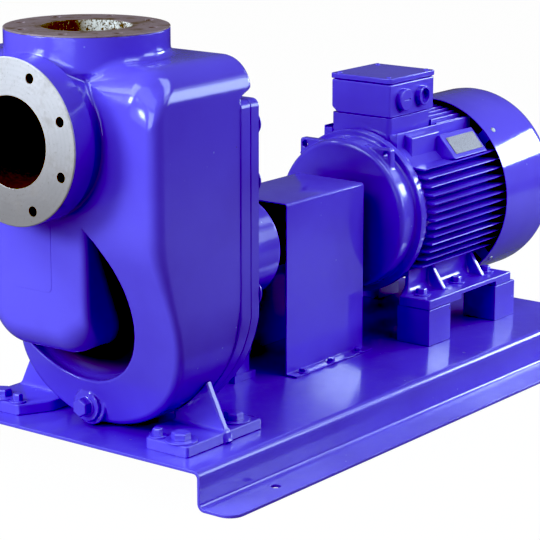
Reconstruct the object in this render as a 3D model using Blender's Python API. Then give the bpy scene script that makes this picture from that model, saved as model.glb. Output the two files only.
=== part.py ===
"""A self-priming pump set on its base plate: pump, coupling guard, electric motor. Metres, +Z up.

X runs along the shaft from the suction flange to the fan, Y goes across, Z = 0 is the floor.
"""

import math

import bmesh
import bpy
from mathutils import Matrix, Vector

# Driving sizes
TOUCH = 0.0003
SHEET = 0.006
BASE_TOP = 0.070
SHAFT_Z = 0.325
SUCTION_Z = 0.612
DISCHARGE_Z = 0.787
SUCTION_X = -0.7325
DISCHARGE_X = SUCTION_X + 0.192

# Flanges, nominal size 150
FLANGE_R = 0.1425
FLANGE_BOLT_R = 0.120
FLANGE_HOLE_R = 0.0088
FLANGE_HOLE_DEPTH = 0.030
FLANGE_HOLES = 8
BORE_R = 0.078
SUCTION_FLANGE_T = 0.050

# Base plate
BASE_X = (SUCTION_X + 0.113, SUCTION_X + 1.428)
BASE_WEB_Y = 0.302
BASE_FLANGE_Y = 0.376
BEND_R = 0.008

# Casing
PANEL_X = SUCTION_X + 0.077
BODY_BACK = SUCTION_X + 0.321
BODY_HALF = 0.248
BODY_TOP = SUCTION_Z + 0.126
BODY_TOP_R = 0.058
BODY_EDGE_R = 0.026
VOLUTE_R = 0.252
SLOPE = 0.35
SLOPE_Z = SUCTION_Z - 0.180
FAR_TAPER = 0.145
RECESS_R = 0.163
RECESS_DEPTH = 0.130
POUCH_X = PANEL_X - 0.001
POUCH_FAR = 0.1445
POUCH_NEAR = 0.093
POUCH_NEAR_R = 0.050
POUCH_BOTTOM = SUCTION_Z - 0.373
POUCH_CORNER_R = 0.100
POUCH_EDGE_R = 0.042
FLANGE_PLATE_X = SUCTION_X + 0.300
FLANGE_PLATE_HALF = 0.250
FLANGE_PLATE_R = 0.2535
FLANGE_PLATE_TOP = SUCTION_Z + 0.054
COVER_X = (SUCTION_X + 0.325 + TOUCH, SUCTION_X + 0.350)
DRAIN = (0.011, SUCTION_Z - 0.503)
DRAIN_PLUG_R = 0.020
DRAIN_HEAD_R = 0.0173
DRAIN_HEAD_H = 0.018
DRAIN_BOSS_R = 0.031
REAR_RIM_X = SUCTION_X + 0.338

# Bearing bracket and coupling
FOOT_T = 0.020
DRUM_R = 0.098
DRUM_X = (COVER_X[1] + TOUCH, SUCTION_X + 0.622)
SHAFT_R = 0.021
MOTOR_SHAFT_R = 0.024
GUARD_X = (SUCTION_X + 0.648, SUCTION_X + 0.900)
GUARD_HALF = 0.083
GUARD_TOP = SUCTION_Z - 0.205
GUARD_SHEET = 0.003

# Motor
SHIELD_X = (SUCTION_X + 0.935, SUCTION_X + 1.000)
FRAME_X = (SHIELD_X[1] + TOUCH, SUCTION_X + 1.275)
FRAME_R = 0.160
FIN_R = 0.183
FIN_COUNT = 13
FIN_PITCH = 0.0166
FIN_LOWEST = -0.101
FIN_START = SUCTION_X + 1.018
FRONT_RING_R = 0.1615
EDGE_FIN_Y = (0.0862, 0.0900)
EDGE_FIN_TOP = 0.164
SIDE_PAD_X = (SUCTION_X + 1.030, SUCTION_X + 1.128)
SIDE_PAD_Y = 0.108
SIDE_PAD_TOP = 0.1565
REAR_SHIELD_X = (FRAME_X[1] + TOUCH, FRAME_X[1] + 0.030)
COWL_X = (SUCTION_X + 1.258, SUCTION_X + 1.465)
COWL_R = 0.194
MOTOR_FOOT_Z = SHAFT_Z - 0.180
MOTOR_FOOT_T = 0.020
MOTOR_FOOT_X = (SUCTION_X + 0.985, SUCTION_X + 1.294)
MOTOR_FOOT_Y = (0.112, 0.186)
PEDESTAL_Y = (0.108, 0.186)
MOTOR_FOOT_GAP_X = (SUCTION_X + 1.103, SUCTION_X + 1.235)
MOTOR_WEB_X = (SUCTION_X + 1.075, SUCTION_X + 1.220)
MOTOR_WEB_T = 0.012
MOTOR_WALL_X = (SUCTION_X + 1.004, SUCTION_X + 1.226)
PLATE_X = (SUCTION_X + 1.130, SUCTION_X + 1.230)
PLATE_TURN = 42.1
PLATE_REACH = 0.1855
PLATE_RISE = 0.0027
NECK_X = (SUCTION_X + 1.003, SUCTION_X + 1.150)
NECK_Z = SHAFT_Z + 0.178
BOX_X = (SUCTION_X + 1.003, SUCTION_X + 1.161)
BOX_Z = (SUCTION_Z - 0.094, SUCTION_Z - 0.026)
BOX_HALF = 0.072
ENTRY_R = 0.020
BLANK_R = 0.022


def clear_scene():
    """Removes every object that the scene starts with."""
    for old in list(bpy.data.objects):
        bpy.data.objects.remove(old, do_unlink=True)


def paint(name, colour, roughness, metallic=0.0):
    """A Principled material with a colour, a roughness and a metallic value."""
    material = bpy.data.materials.new(name)
    material.use_nodes = True
    shader = material.node_tree.nodes["Principled BSDF"]
    shader.inputs["Base Color"].default_value = (*colour, 1.0)
    shader.inputs["Roughness"].default_value = roughness
    shader.inputs["Metallic"].default_value = metallic
    return material


def add_object(name, mesh_builder, material, smooth=30.0, helper=False):
    """Makes an object from a bmesh, with smooth shading up to the given angle."""
    bmesh.ops.recalc_face_normals(mesh_builder, faces=mesh_builder.faces)
    mesh = bpy.data.meshes.new(name)
    mesh_builder.to_mesh(mesh)
    mesh_builder.free()
    if smooth:
        mesh.shade_smooth()
        mesh.set_sharp_from_angle(angle=math.radians(smooth))
    thing = bpy.data.objects.new(name, mesh)
    bpy.context.scene.collection.objects.link(thing)
    if helper:
        thing.hide_render = True
        thing.display_type = "WIRE"
    if material:
        mesh.materials.append(material)
    return thing


def circle(radius, count, start=0.0):
    """Points of a full circle."""
    turn = math.tau / count
    return [(radius * math.cos(start + i * turn), radius * math.sin(start + i * turn)) for i in range(count)]


def arc(centre, radius, first, last, count):
    """Points of an arc, with both ends, angles in degrees."""
    angles = [math.radians(first + (last - first) * i / count) for i in range(count + 1)]
    return [(centre[0] + radius * math.cos(a), centre[1] + radius * math.sin(a)) for a in angles]


def loft(rings):
    """A closed bmesh through rings of equal length, capped at both ends."""
    body = bmesh.new()
    rows = [[body.verts.new(point) for point in ring] for ring in rings]
    count = len(rows[0])
    for low, high in zip(rows, rows[1:]):
        for i in range(count):
            j = (i + 1) % count
            body.faces.new((low[i], low[j], high[j], high[i]))
    body.faces.new(rows[0])
    body.faces.new(list(reversed(rows[-1])))
    return body


def prism_x(outline, low, high):
    """An outline in Y and Z, extruded along X."""
    return loft([[(x, y, z) for y, z in outline] for x in (low, high)])


def prism_y(outline, low, high):
    """An outline in X and Z, extruded along Y."""
    return loft([[(x, y, z) for x, z in outline] for y in (low, high)])


def block(x_range, y_range, z_range):
    """A plain box."""
    (y0, y1), (z0, z1) = y_range, z_range
    return prism_x([(y0, z0), (y1, z0), (y1, z1), (y0, z1)], *x_range)


def turned_x(profile, y=0.0, z=0.0, count=48):
    """A solid of revolution about an axis along X, from (x, radius) pairs."""
    return loft([[(x, y + a, z + b) for a, b in circle(r, count)] for x, r in profile])


def turned_z(profile, x=0.0, y=0.0, count=48):
    """A solid of revolution about an upright axis, from (z, radius) pairs."""
    return loft([[(x + a, y + b, z) for a, b in circle(r, count)] for z, r in profile])


def tube_x(x_range, outer, inner, z=SHAFT_Z, count=48):
    """A ring about an axis along X."""
    low, high = x_range
    return ring_loft([[(x, a, z + b) for a, b in circle(r, count)]
                      for x, r in ((low, inner), (low, outer), (high, outer), (high, inner))])


def ring_loft(rings):
    """A closed ring-shaped bmesh: the last ring joins the first."""
    body = bmesh.new()
    rows = [[body.verts.new(point) for point in ring] for ring in rings]
    count = len(rows[0])
    for k, low in enumerate(rows):
        high = rows[(k + 1) % len(rows)]
        for i in range(count):
            j = (i + 1) % count
            body.faces.new((low[i], low[j], high[j], high[i]))
    return body


def boolean(target, cutter, operation):
    """Adds a Boolean with the EXACT solver."""
    modifier = target.modifiers.new(cutter.name, "BOOLEAN")
    modifier.operation = operation
    modifier.object = cutter
    modifier.solver = "EXACT"


def cut(target, name, body):
    """Cuts a helper body out of the target."""
    boolean(target, add_object(name, body, None, smooth=0, helper=True), "DIFFERENCE")


def join(target, name, body):
    """Fuses a helper body with the target."""
    boolean(target, add_object(name, body, None, smooth=30, helper=True), "UNION")


def bevel(target, width, segments=2, angle=40.0):
    """Rounds the sharp edges."""
    modifier = target.modifiers.new("edge", "BEVEL")
    modifier.width = width
    modifier.segments = segments
    modifier.limit_method = "ANGLE"
    modifier.angle_limit = math.radians(angle)


def merge(bodies):
    """Several bmesh bodies that do not touch, as one."""
    whole = bodies[0]
    for other in bodies[1:]:
        copied = {v: whole.verts.new(v.co) for v in other.verts}
        for face in other.faces:
            whole.faces.new([copied[v] for v in face.verts])
        other.free()
    return whole


# Base plate

def base_outline():
    """Half of the folded section, from the middle out to the flange edge and back."""
    inner, outer = BEND_R, BEND_R + SHEET
    web_out = BASE_WEB_Y + SHEET / 2
    web_in = BASE_WEB_Y - SHEET / 2
    top_bend = (web_in - inner, BASE_TOP - SHEET - inner)
    low_bend = (web_out + inner, SHEET + inner)
    over = arc(top_bend, outer, 90, 0, 5) + arc(low_bend, inner, 180, 270, 4)
    under = arc(low_bend, outer, 270, 180, 5) + arc(top_bend, inner, 0, 90, 4)
    return over + [(BASE_FLANGE_Y, SHEET), (BASE_FLANGE_Y, 0.0)] + under


def build_base(material):
    half = base_outline()
    outline = half + [(-y, z) for y, z in reversed(half)]
    base = add_object("base_plate", prism_x(outline, *BASE_X), material, smooth=40)
    holes = []
    for side in (-1, 1):
        for x in (BASE_X[0] + 0.168, BASE_X[1] - 0.168):
            holes.append(turned_z(((-0.01, 0.009), (0.02, 0.009)), x, side * 0.337, 16))
    cut(base, "base_holes", merge(holes))
    return base


# Pump casing

def slope_x(z):
    """Where the front face is at a height: upright above, sloping back below."""
    return PANEL_X + SLOPE * max(0.0, SLOPE_Z - z)


def volute_radius(angle, x):
    """Radius of the casing below the shaft: full near and below, drawn in on the far front."""
    far = min(1.0, max(0.0, (angle - 275.0) / 50.0))
    forward = min(1.0, max(0.0, (BODY_BACK - 0.040 - x) / FAR_TAPER))
    return VOLUTE_R * (1.0 - 0.36 * forward * far ** 1.6)


def body_ring(x, inset):
    """Cross-section of the casing body at one place, drawn in by the inset."""
    half = BODY_HALF - inset
    top = BODY_TOP - inset
    corner = BODY_TOP_R - inset * 0.5
    points = arc((half - corner, top - corner), corner, 0, 90, 6)
    points += arc((-half + corner, top - corner), corner, 90, 180, 6)
    for i in range(27):
        angle = 187.0 + 6.0 * i
        reach = volute_radius(angle, x) - inset
        turn = math.radians(angle)
        points.append((reach * math.cos(turn), SHAFT_Z + reach * math.sin(turn)))
    return [(x, y, z) for y, z in points]


def casing_body():
    """The casing body, with rounded front and rear edges."""
    rings = []
    for i in range(5):
        angle = math.radians(22.5 * i)
        inset = BODY_EDGE_R * (1 - math.sin(angle))
        rings.append(body_ring(PANEL_X + BODY_EDGE_R * (1 - math.cos(angle)), inset))
    for x in (SUCTION_X + 0.145, SUCTION_X + 0.200, SUCTION_X + 0.250, BODY_BACK - 0.020):
        rings.append(body_ring(x, 0.0))
    rings.append(body_ring(BODY_BACK, 0.012))
    return loft(rings)


def rim_ring(x, inset):
    """Cross-section of the tank's upper rear, drawn in by the inset."""
    half, top, corner = BODY_HALF - inset, BODY_TOP - inset, BODY_TOP_R - 0.008
    low = FLANGE_PLATE_TOP + 0.012
    points = [(-half, low), (half, low)] + arc((half - corner, top - corner), corner, 0, 90, 6)
    points += arc((-half + corner, top - corner), corner, 90, 180, 6)
    return [(x, y, z) for y, z in points]


def rear_rim():
    """The upper rear of the tank, which reaches back over the casing flange."""
    places = ((BODY_BACK - 0.030, 0.006), (REAR_RIM_X - 0.008, 0.001), (REAR_RIM_X, 0.007))
    return loft([rim_ring(x, inset) for x, inset in places])


def slope_cutter():
    """What the sloping lower front takes away."""
    low = -0.05
    outline = [(SUCTION_X - 0.10, SLOPE_Z), (PANEL_X, SLOPE_Z), (slope_x(low), low), (SUCTION_X - 0.10, low)]
    return prism_y(outline, -0.40, 0.40)


def pouch_ring(x, inset):
    near, far = POUCH_NEAR - inset * 0.25, POUCH_FAR - inset
    low = POUCH_BOTTOM + inset
    near_r, far_r = POUCH_NEAR_R - inset * 0.3, POUCH_CORNER_R - inset * 0.6
    points = [(far, SUCTION_Z), (-near, SUCTION_Z)]
    points += arc((-near + near_r, low + near_r + 0.002), near_r, 180, 262, 6)
    points += arc((far - far_r, low + far_r + 0.006), far_r, 278, 360, 6)
    return [(x, y, z) for y, z in points]


def casing_pouch():
    """The suction chamber below the suction flange, upright where the casing slopes back."""
    rings = []
    for i in range(6):
        angle = math.radians(18 * i)
        inset = POUCH_EDGE_R * (1 - math.sin(angle))
        rings.append(pouch_ring(POUCH_X + POUCH_EDGE_R * (1 - math.cos(angle)), inset))
    rings.append(pouch_ring(PANEL_X + RECESS_DEPTH + 0.02, 0.0))
    return loft(rings)


def plate_outline(half, radius, top):
    """A plate with a level top, upright sides and a round bottom about the shaft."""
    corner = 0.012
    start = 180.0 + math.degrees(math.acos(half / radius))
    points = arc((half - corner, top - corner), corner, 0, 90, 3)
    points += arc((-half + corner, top - corner), corner, 90, 180, 3)
    return points + arc((0.0, SHAFT_Z), radius, start, 540.0 - start, 40)


def flange_holes_x():
    start = math.pi / FLANGE_HOLES
    ends = (SUCTION_X - 0.01, SUCTION_X + FLANGE_HOLE_DEPTH)
    return merge([turned_x([(x, FLANGE_HOLE_R) for x in ends], y, SUCTION_Z + z, 12)
                  for y, z in circle(FLANGE_BOLT_R, FLANGE_HOLES, start)])


def flange_holes_z():
    start = math.pi / FLANGE_HOLES
    ends = (DISCHARGE_Z - FLANGE_HOLE_DEPTH, DISCHARGE_Z + 0.01)
    return merge([turned_z([(z, FLANGE_HOLE_R) for z in ends], DISCHARGE_X + x, y, 12)
                  for x, y in circle(FLANGE_BOLT_R, FLANGE_HOLES, start)])


def build_casing(material):
    casing = add_object("pump_casing", casing_body(), material)
    cut(casing, "lower_front", slope_cutter())
    depth = PANEL_X + RECESS_DEPTH
    recess = ((PANEL_X - 0.05, RECESS_R), (depth - 0.02, RECESS_R), (depth, RECESS_R - 0.02))
    cut(casing, "recess", turned_x(recess, 0.0, SHAFT_Z - 0.001, 64))
    join(casing, "pouch", casing_pouch())
    join(casing, "rear_rim", rear_rim())
    join(casing, "back_flange", prism_x(plate_outline(FLANGE_PLATE_HALF, FLANGE_PLATE_R, FLANGE_PLATE_TOP),
                                        FLANGE_PLATE_X, COVER_X[0] - TOUCH))
    neck_end = PANEL_X + 0.02
    rim_end = SUCTION_X + SUCTION_FLANGE_T
    join(casing, "suction_neck", turned_x(((SUCTION_X, FLANGE_R), (rim_end, FLANGE_R),
                                           (rim_end + 0.010, FLANGE_R - 0.010), (neck_end, FLANGE_R - 0.008)),
                                          0.0, SUCTION_Z, 64))
    neck = ((BODY_TOP - 0.05, FLANGE_R - 0.016), (BODY_TOP - 0.008, FLANGE_R - 0.003), (DISCHARGE_Z, FLANGE_R))
    join(casing, "discharge_neck", turned_z(neck, DISCHARGE_X, 0.0, 64))
    boss_end = slope_x(DRAIN[1]) - 0.012
    join(casing, "drain_boss", turned_x(((boss_end, DRAIN_BOSS_R), (boss_end + 0.06, DRAIN_BOSS_R + 0.006)),
                                        *DRAIN, 32))
    cut(casing, "suction_bore", turned_x(((SUCTION_X - 0.01, BORE_R), (PANEL_X + 0.11, BORE_R)), 0.0, SUCTION_Z))
    cut(casing, "discharge_bore", turned_z(((SUCTION_Z + 0.09, BORE_R), (DISCHARGE_Z + 0.01, BORE_R)), DISCHARGE_X))
    cut(casing, "suction_holes", flange_holes_x())
    cut(casing, "discharge_holes", flange_holes_z())
    seat = DRAIN_PLUG_R + TOUCH
    cut(casing, "drain_seat", turned_x(((boss_end - 0.01, seat), (boss_end + 0.020, seat)), *DRAIN, 24))


def build_drain_plug(material):
    """A round collar with a hexagon head."""
    front = slope_x(DRAIN[1]) - 0.012
    plug = add_object("drain_plug", turned_x(((front - 0.001, DRAIN_PLUG_R), (front + 0.0197, DRAIN_PLUG_R)),
                                             *DRAIN, 24), material)
    head = [(DRAIN[0] + y, DRAIN[1] + z) for y, z in circle(DRAIN_HEAD_R, 6, math.radians(30))]
    join(plug, "drain_head", prism_x(head, front - DRAIN_HEAD_H, front + 0.010))


def build_cover(material):
    outline = plate_outline(FLANGE_PLATE_HALF, FLANGE_PLATE_R, FLANGE_PLATE_TOP)
    cover = add_object("rear_cover", prism_x(outline, *COVER_X), material)
    bevel(cover, 0.003)


def build_pump_feet(material):
    """A foot plate and a gusset web on each side, cast in one."""
    bottom = BASE_TOP + TOUCH
    top = bottom + FOOT_T
    reach = VOLUTE_R + 2 * TOUCH
    plan = ((0.155, 0.152), (0.154, 0.244), (0.363, 0.244), (0.363, 0.120), (0.215, 0.120))
    for side, name in ((-1, "pump_foot_near"), (1, "pump_foot_far")):
        rings = [[(SUCTION_X + x, side * y, z) for x, y in plan] for z in (bottom, top)]
        foot = add_object(name, loft(rings), material)
        web = [(side * 0.243, top - 0.004), (side * 0.150, top - 0.004)]
        for angle in (-56, -50, -44, -38):
            turn = math.radians(angle)
            web.append((side * reach * math.cos(turn), SHAFT_Z + reach * math.sin(turn)))
        join(foot, name + "_web", prism_x(web, SUCTION_X + 0.258, SUCTION_X + 0.272))


# Bearing bracket and coupling

def build_bracket(material):
    flare = 0.155
    bracket = add_object("bearing_bracket", turned_x(
        ((DRUM_X[0], flare), (DRUM_X[0] + 0.022, flare), (DRUM_X[0] + 0.022 + 0.03, DRUM_R + 0.006),
         (DRUM_X[1] - 0.012, DRUM_R), (DRUM_X[1], DRUM_R - 0.012)), 0.0, SHAFT_Z, 64), material)
    hole = SHAFT_R + TOUCH
    cut(bracket, "bracket_bore", turned_x(((DRUM_X[1] - 0.05, hole), (DRUM_X[1] + 0.01, hole)), 0.0, SHAFT_Z, 32))
    x0, x1 = SUCTION_X + 0.560, SUCTION_X + 0.600
    leg_top = SHAFT_Z - DRUM_R - 0.002
    leg = add_object("bracket_leg", block((x0, x1), (-0.030, 0.030), (BASE_TOP + TOUCH, leg_top)), material)
    join(leg, "leg_pad", block((x0 - 0.012, x1 + 0.012), (-0.036, 0.036), (BASE_TOP + TOUCH, BASE_TOP + 0.014)))


def build_coupling(steel, iron, rubber):
    x = DRUM_X[1]
    parts = (
        ("pump_shaft", x - 0.05 + TOUCH, x + 0.040, SHAFT_R, steel),
        ("pump_hub", x + 0.0403, x + 0.095, 0.060, iron),
        ("coupling_spider", x + 0.0953, x + 0.115, 0.058, rubber),
        ("motor_hub", x + 0.1153, x + 0.170, 0.060, iron),
        ("motor_shaft", x + 0.1703, SHIELD_X[0] - TOUCH, MOTOR_SHAFT_R, steel),
    )
    for name, low, high, radius, material in parts:
        add_object(name, turned_x(((low, radius), (high, radius)), 0.0, SHAFT_Z, 32), material)


def guard_outline():
    """Bent sheet: lip, side, top, side, lip."""
    t = GUARD_SHEET
    half, top, foot = GUARD_HALF, GUARD_TOP, BASE_TOP + TOUCH
    lip = 0.024
    outer = [(half + lip, foot), (half + lip, foot + t), (half, foot + t)]
    outer += arc((half - 0.006, top - 0.006), 0.006, 0, 90, 3)
    inner = arc((half - 0.006, top - 0.006), 0.006 - t, 90, 0, 3)
    inner += [(half - t, foot)]
    return outer + [(-y, z) for y, z in reversed(outer)] + [(-y, z) for y, z in reversed(inner)] + inner


def build_guard(material):
    add_object("coupling_guard", prism_x(guard_outline(), *GUARD_X), material, smooth=40)


# Motor

def fin_outline():
    """Cross-section of the frame: a barrel with level fins at the sides and upright fins on top."""
    half_thick = 0.0022
    side_points = []
    for i in range(FIN_COUNT):
        z = FIN_LOWEST + i * FIN_PITCH
        reach = math.sqrt(max(FIN_R ** 2 - z ** 2, 0.0))
        root = math.sqrt(max(FRAME_R ** 2 - z ** 2, 0.0))
        side_points += [(root, z - half_thick), (reach, z - half_thick)]
        side_points += [(reach, z + half_thick), (root, z + half_thick)]
    points = side_points + arc((0.0, 0.0), FRAME_R, 55, 125, 12)
    points += [(-y, z) for y, z in reversed(side_points)]
    points += arc((0.0, 0.0), FRAME_R, 236, 304, 12)
    return [(y, SHAFT_Z + z) for y, z in points]


def on_plate(reach, along):
    """A point of the rating plate's section, from its distance to the shaft and its place up the slant."""
    turn = math.radians(PLATE_TURN)
    y = along * math.sin(turn) - reach * math.cos(turn)
    return y, SHAFT_Z + reach * math.sin(turn) + along * math.cos(turn)


def build_motor_frame(material):
    """The barrel, with the seat of the terminal box and the pads beside it."""
    frame = add_object("motor_frame", prism_x(fin_outline(), FIN_START, FRAME_X[1]), material, smooth=20)
    ring = turned_x(((FRAME_X[0], FRONT_RING_R), (FIN_START + 0.006, FRONT_RING_R)), 0.0, SHAFT_Z, 72)
    join(frame, "front_ring", ring)
    fins = []
    for i in range(13):
        y = (i - 6) * 0.0135
        reach = math.sqrt(FIN_R ** 2 - y ** 2)
        heights = (SHAFT_Z + 0.12, SHAFT_Z + reach)
        fins.append(block((NECK_X[1] + 0.006, FRAME_X[1]), (y - 0.0018, y + 0.0018), heights))
    join(frame, "top_fins", merge(fins))
    join(frame, "box_seat", block(NECK_X, (-BOX_HALF, BOX_HALF), (SHAFT_Z + 0.12, NECK_Z)))
    edge_x = (NECK_X[0] + 0.001, FRAME_X[1] - 0.001)
    block_x = (NECK_X[0] + 0.002, NECK_X[0] + 0.019)
    root = SHAFT_Z + 0.112
    for side, name in ((-1, "near"), (1, "far")):
        fin_y = sorted(side * y for y in EDGE_FIN_Y)
        join(frame, name + "_edge_fin", block(edge_x, fin_y, (root, SHAFT_Z + EDGE_FIN_TOP)))
        corner_y = sorted((side * (BOX_HALF - 0.004), side * (EDGE_FIN_Y[0] + 0.002)))
        join(frame, name + "_corner_block", block(block_x, corner_y, (root, SHAFT_Z + 0.160)))
        pad_y = sorted((side * (EDGE_FIN_Y[0] - 0.002), side * SIDE_PAD_Y))
        join(frame, name + "_side_pad", block(SIDE_PAD_X, pad_y, (root, SHAFT_Z + SIDE_PAD_TOP)))
    top = PLATE_REACH - TOUCH
    under = [(-0.118, SHAFT_Z + 0.096), (-0.083, SHAFT_Z + 0.120)]
    section = [on_plate(top, 0.0335), on_plate(top, -0.0274)] + under
    join(frame, "plate_pad", prism_x(section, PLATE_X[0] - 0.012, PLATE_X[1] + 0.008))


def build_shields(material):
    """End shields: the front one carries two lifting lugs, the rear one the bosses of the cowl."""
    x0, x1 = SHIELD_X
    front = add_object("motor_shield_front", turned_x(
        ((x0, 0.060), (x0 + 0.004, 0.125), (x0 + 0.012, 0.146), (x0 + 0.022, 0.152), (x1 - 0.020, 0.156),
         (x1 - 0.018, 0.166), (x1, 0.166)), 0.0, SHAFT_Z, 64), material)
    lug_x = (SUCTION_X + 0.950, SUCTION_X + 0.966)
    for side, name in ((-1, "near"), (1, "far")):
        section = [(0.054, 0.100), (0.054, 0.144), (0.105, 0.144), (0.111, 0.138), (0.111, 0.090)]
        join(front, name + "_lug", prism_x([(side * y, SHAFT_Z + z) for y, z in section], *lug_x))
        cut(front, name + "_lug_hole", turned_x(((lug_x[0] - 0.01, 0.006), (lug_x[1] + 0.004, 0.006)),
                                                side * 0.099, SHAFT_Z + 0.131, 16))
    hole = MOTOR_SHAFT_R + TOUCH
    cut(front, "front_shaft_hole", turned_x(((x0 - 0.01, hole), (x0 + 0.02, hole)), 0.0, SHAFT_Z, 32))
    x0, x1 = REAR_SHIELD_X
    rear = add_object("motor_shield_rear", turned_x(
        ((x0, 0.166), (x0 + 0.014, 0.166), (x0 + 0.018, 0.120), (x1, 0.110)), 0.0, SHAFT_Z, 64), material)
    for i in range(4):
        boss = block((x0 + 0.001, x0 + 0.013), (-0.013, 0.013), (0.150, COWL_R - 0.0030))
        turn = Matrix.Rotation(math.pi * (i + 0.5) / 2, 4, "X")
        boss.transform(Matrix.Translation(Vector((0.0, 0.0, SHAFT_Z))) @ turn)
        join(rear, "cowl_boss_%d" % i, boss)


def barrel_arc(side, reach, angles):
    """Points on a circle about the shaft, on one side, from angles in degrees."""
    return [(side * reach * math.cos(math.radians(a)), SHAFT_Z + reach * math.sin(math.radians(a))) for a in angles]


def build_motor_feet(material):
    """A foot on each side, with a wall and two webs that reach up to the barrel."""
    top = MOTOR_FOOT_Z + MOTOR_FOOT_T
    reach = FRAME_R + 2 * TOUCH
    root = top - 0.004
    for side, name in ((-1, "motor_foot_near"), (1, "motor_foot_far")):
        ys = sorted(side * y for y in MOTOR_FOOT_Y)
        foot = add_object(name, block(MOTOR_FOOT_X, ys, (MOTOR_FOOT_Z, top)), material)
        cut(foot, name + "_gap", block(MOTOR_FOOT_GAP_X, (-0.3, 0.3), (MOTOR_FOOT_Z - 0.01, MOTOR_FOOT_Z + 0.010)))
        web = barrel_arc(side, reach, (-66, -60, -54, -48, -42))
        slant = ((0.1255, SHAFT_Z - 0.1075), (0.1613, top), (0.1640, root), (0.122, root))
        web += [(side * y, z) for y, z in slant]
        for number, x in enumerate(MOTOR_WEB_X):
            join(foot, "%s_web_%d" % (name, number), prism_x(web, x, x + MOTOR_WEB_T))
        wall = barrel_arc(side, FRONT_RING_R + 2 * TOUCH, (-46.3, -44.0, -42.6))
        hollow = ((0.1205, SHAFT_Z - 0.140), (0.130, top), (0.132, root), (0.1125, root))
        wall += [(side * y, z) for y, z in hollow]
        join(foot, name + "_wall", prism_x(wall, *MOTOR_WALL_X))


def build_pedestals(material):
    lengths = ((SUCTION_X + 0.985, SUCTION_X + 1.0635), (SUCTION_X + 1.233, SUCTION_X + 1.309))
    number = 1
    for xs in lengths:
        for side in (-1, 1):
            ys = sorted(side * y for y in PEDESTAL_Y)
            heights = (BASE_TOP + TOUCH, MOTOR_FOOT_Z - TOUCH)
            post = add_object("pedestal_%d" % number, block(xs, ys, heights), material)
            bevel(post, 0.0015)
            number += 1


def build_fan(cowl_paint, plastic):
    x0, x1 = COWL_X
    cowl = add_object("fan_cowl", ring_loft([[(x, a, SHAFT_Z + b) for a, b in circle(r, 64)] for x, r in (
        (x0, COWL_R - 0.002), (x0, COWL_R), (x1 - 0.030, COWL_R), (x1 - 0.010, COWL_R - 0.008),
        (x1 - 0.002, COWL_R - 0.024), (x1, COWL_R - 0.040), (x1, 0.150), (x1 - 0.002, 0.150),
        (x1 - 0.004, COWL_R - 0.042), (x1 - 0.012, COWL_R - 0.012), (x1 - 0.030, COWL_R - 0.002))]), cowl_paint)
    cowl.data.shade_smooth()
    rear = REAR_SHIELD_X[1]
    fan = add_object("fan", turned_x(((rear + TOUCH, 0.040), (rear + 0.030, 0.040)), 0.0, SHAFT_Z, 32), plastic)
    blades = []
    for i in range(8):
        turn = Matrix.Rotation(math.tau * i / 8, 4, "X")
        blade = block((rear + 0.004, rear + 0.075), (-0.003, 0.003), (0.030, 0.150))
        blade.transform(Matrix.Translation(Vector((0.0, 0.0, SHAFT_Z))) @ turn)
        blades.append(blade)
    for k, blade in enumerate(blades):
        join(fan, "blade_%d" % k, blade)


def build_grille(material):
    """The slotted end of the cowl."""
    x0 = COWL_X[1] - 0.0017
    grille = add_object("cowl_grille", tube_x((x0, COWL_X[1] - 0.0002), 0.1497, 0.140, SHAFT_Z, 64), material)
    for i, radius in enumerate((0.118, 0.094, 0.070, 0.046)):
        join(grille, "grille_ring_%d" % i, tube_x((x0, COWL_X[1] - 0.0002), radius, radius - 0.012))
    bar = block((x0, COWL_X[1] - 0.0002), (-0.006, 0.006), (-0.145, 0.145))
    for i in range(4):
        turned = bar.copy()
        turned.transform(Matrix.Translation(Vector((0.0, 0.0, SHAFT_Z))) @ Matrix.Rotation(math.pi * i / 4, 4, "X"))
        join(grille, "grille_bar_%d" % i, turned)
    bar.free()


def build_terminal_box(material):
    low, high = BOX_Z
    x0, x1 = BOX_X
    neck_half = BOX_HALF - 0.0005
    add_object("terminal_neck", block(NECK_X, (-neck_half, neck_half), (NECK_Z + TOUCH, low - TOUCH)), material)
    box = add_object("terminal_box", block(BOX_X, (-BOX_HALF, BOX_HALF), BOX_Z), material)
    bevel(box, 0.003)
    lid = add_object("terminal_lid", block((x0 - 0.002, x1 + 0.002), (-BOX_HALF - 0.002, BOX_HALF + 0.002),
                                           (high + TOUCH, high + 0.012)), material)
    bevel(lid, 0.003)
    for name, x, radius in (("blank_plug", x0 + 0.045, BLANK_R), ("cable_entry", x0 + 0.110, ENTRY_R)):
        body = turned_x(((0.0, radius), (0.012, radius)), 0.0, 0.0, 32)
        place = Matrix.Translation(Vector((x, -BOX_HALF - TOUCH, low + 0.034)))
        body.transform(place @ Matrix.Rotation(-math.pi / 2, 4, "Z"))
        add_object(name, body, material)


def build_plate(material):
    """The bare rating plate on its slanted pad."""
    half = (PLATE_X[1] - PLATE_X[0]) / 2
    body = block((-half, half), (-0.0200, 0.0200), (0.0, 0.0012))
    place = Matrix.Translation(Vector((PLATE_X[0] + half, 0.0, SHAFT_Z)))
    lift = Matrix.Translation(Vector((0.0, PLATE_RISE, PLATE_REACH)))
    body.transform(place @ Matrix.Rotation(math.radians(90.0 - PLATE_TURN), 4, "X") @ lift)
    add_object("rating_plate", body, material)


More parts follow.
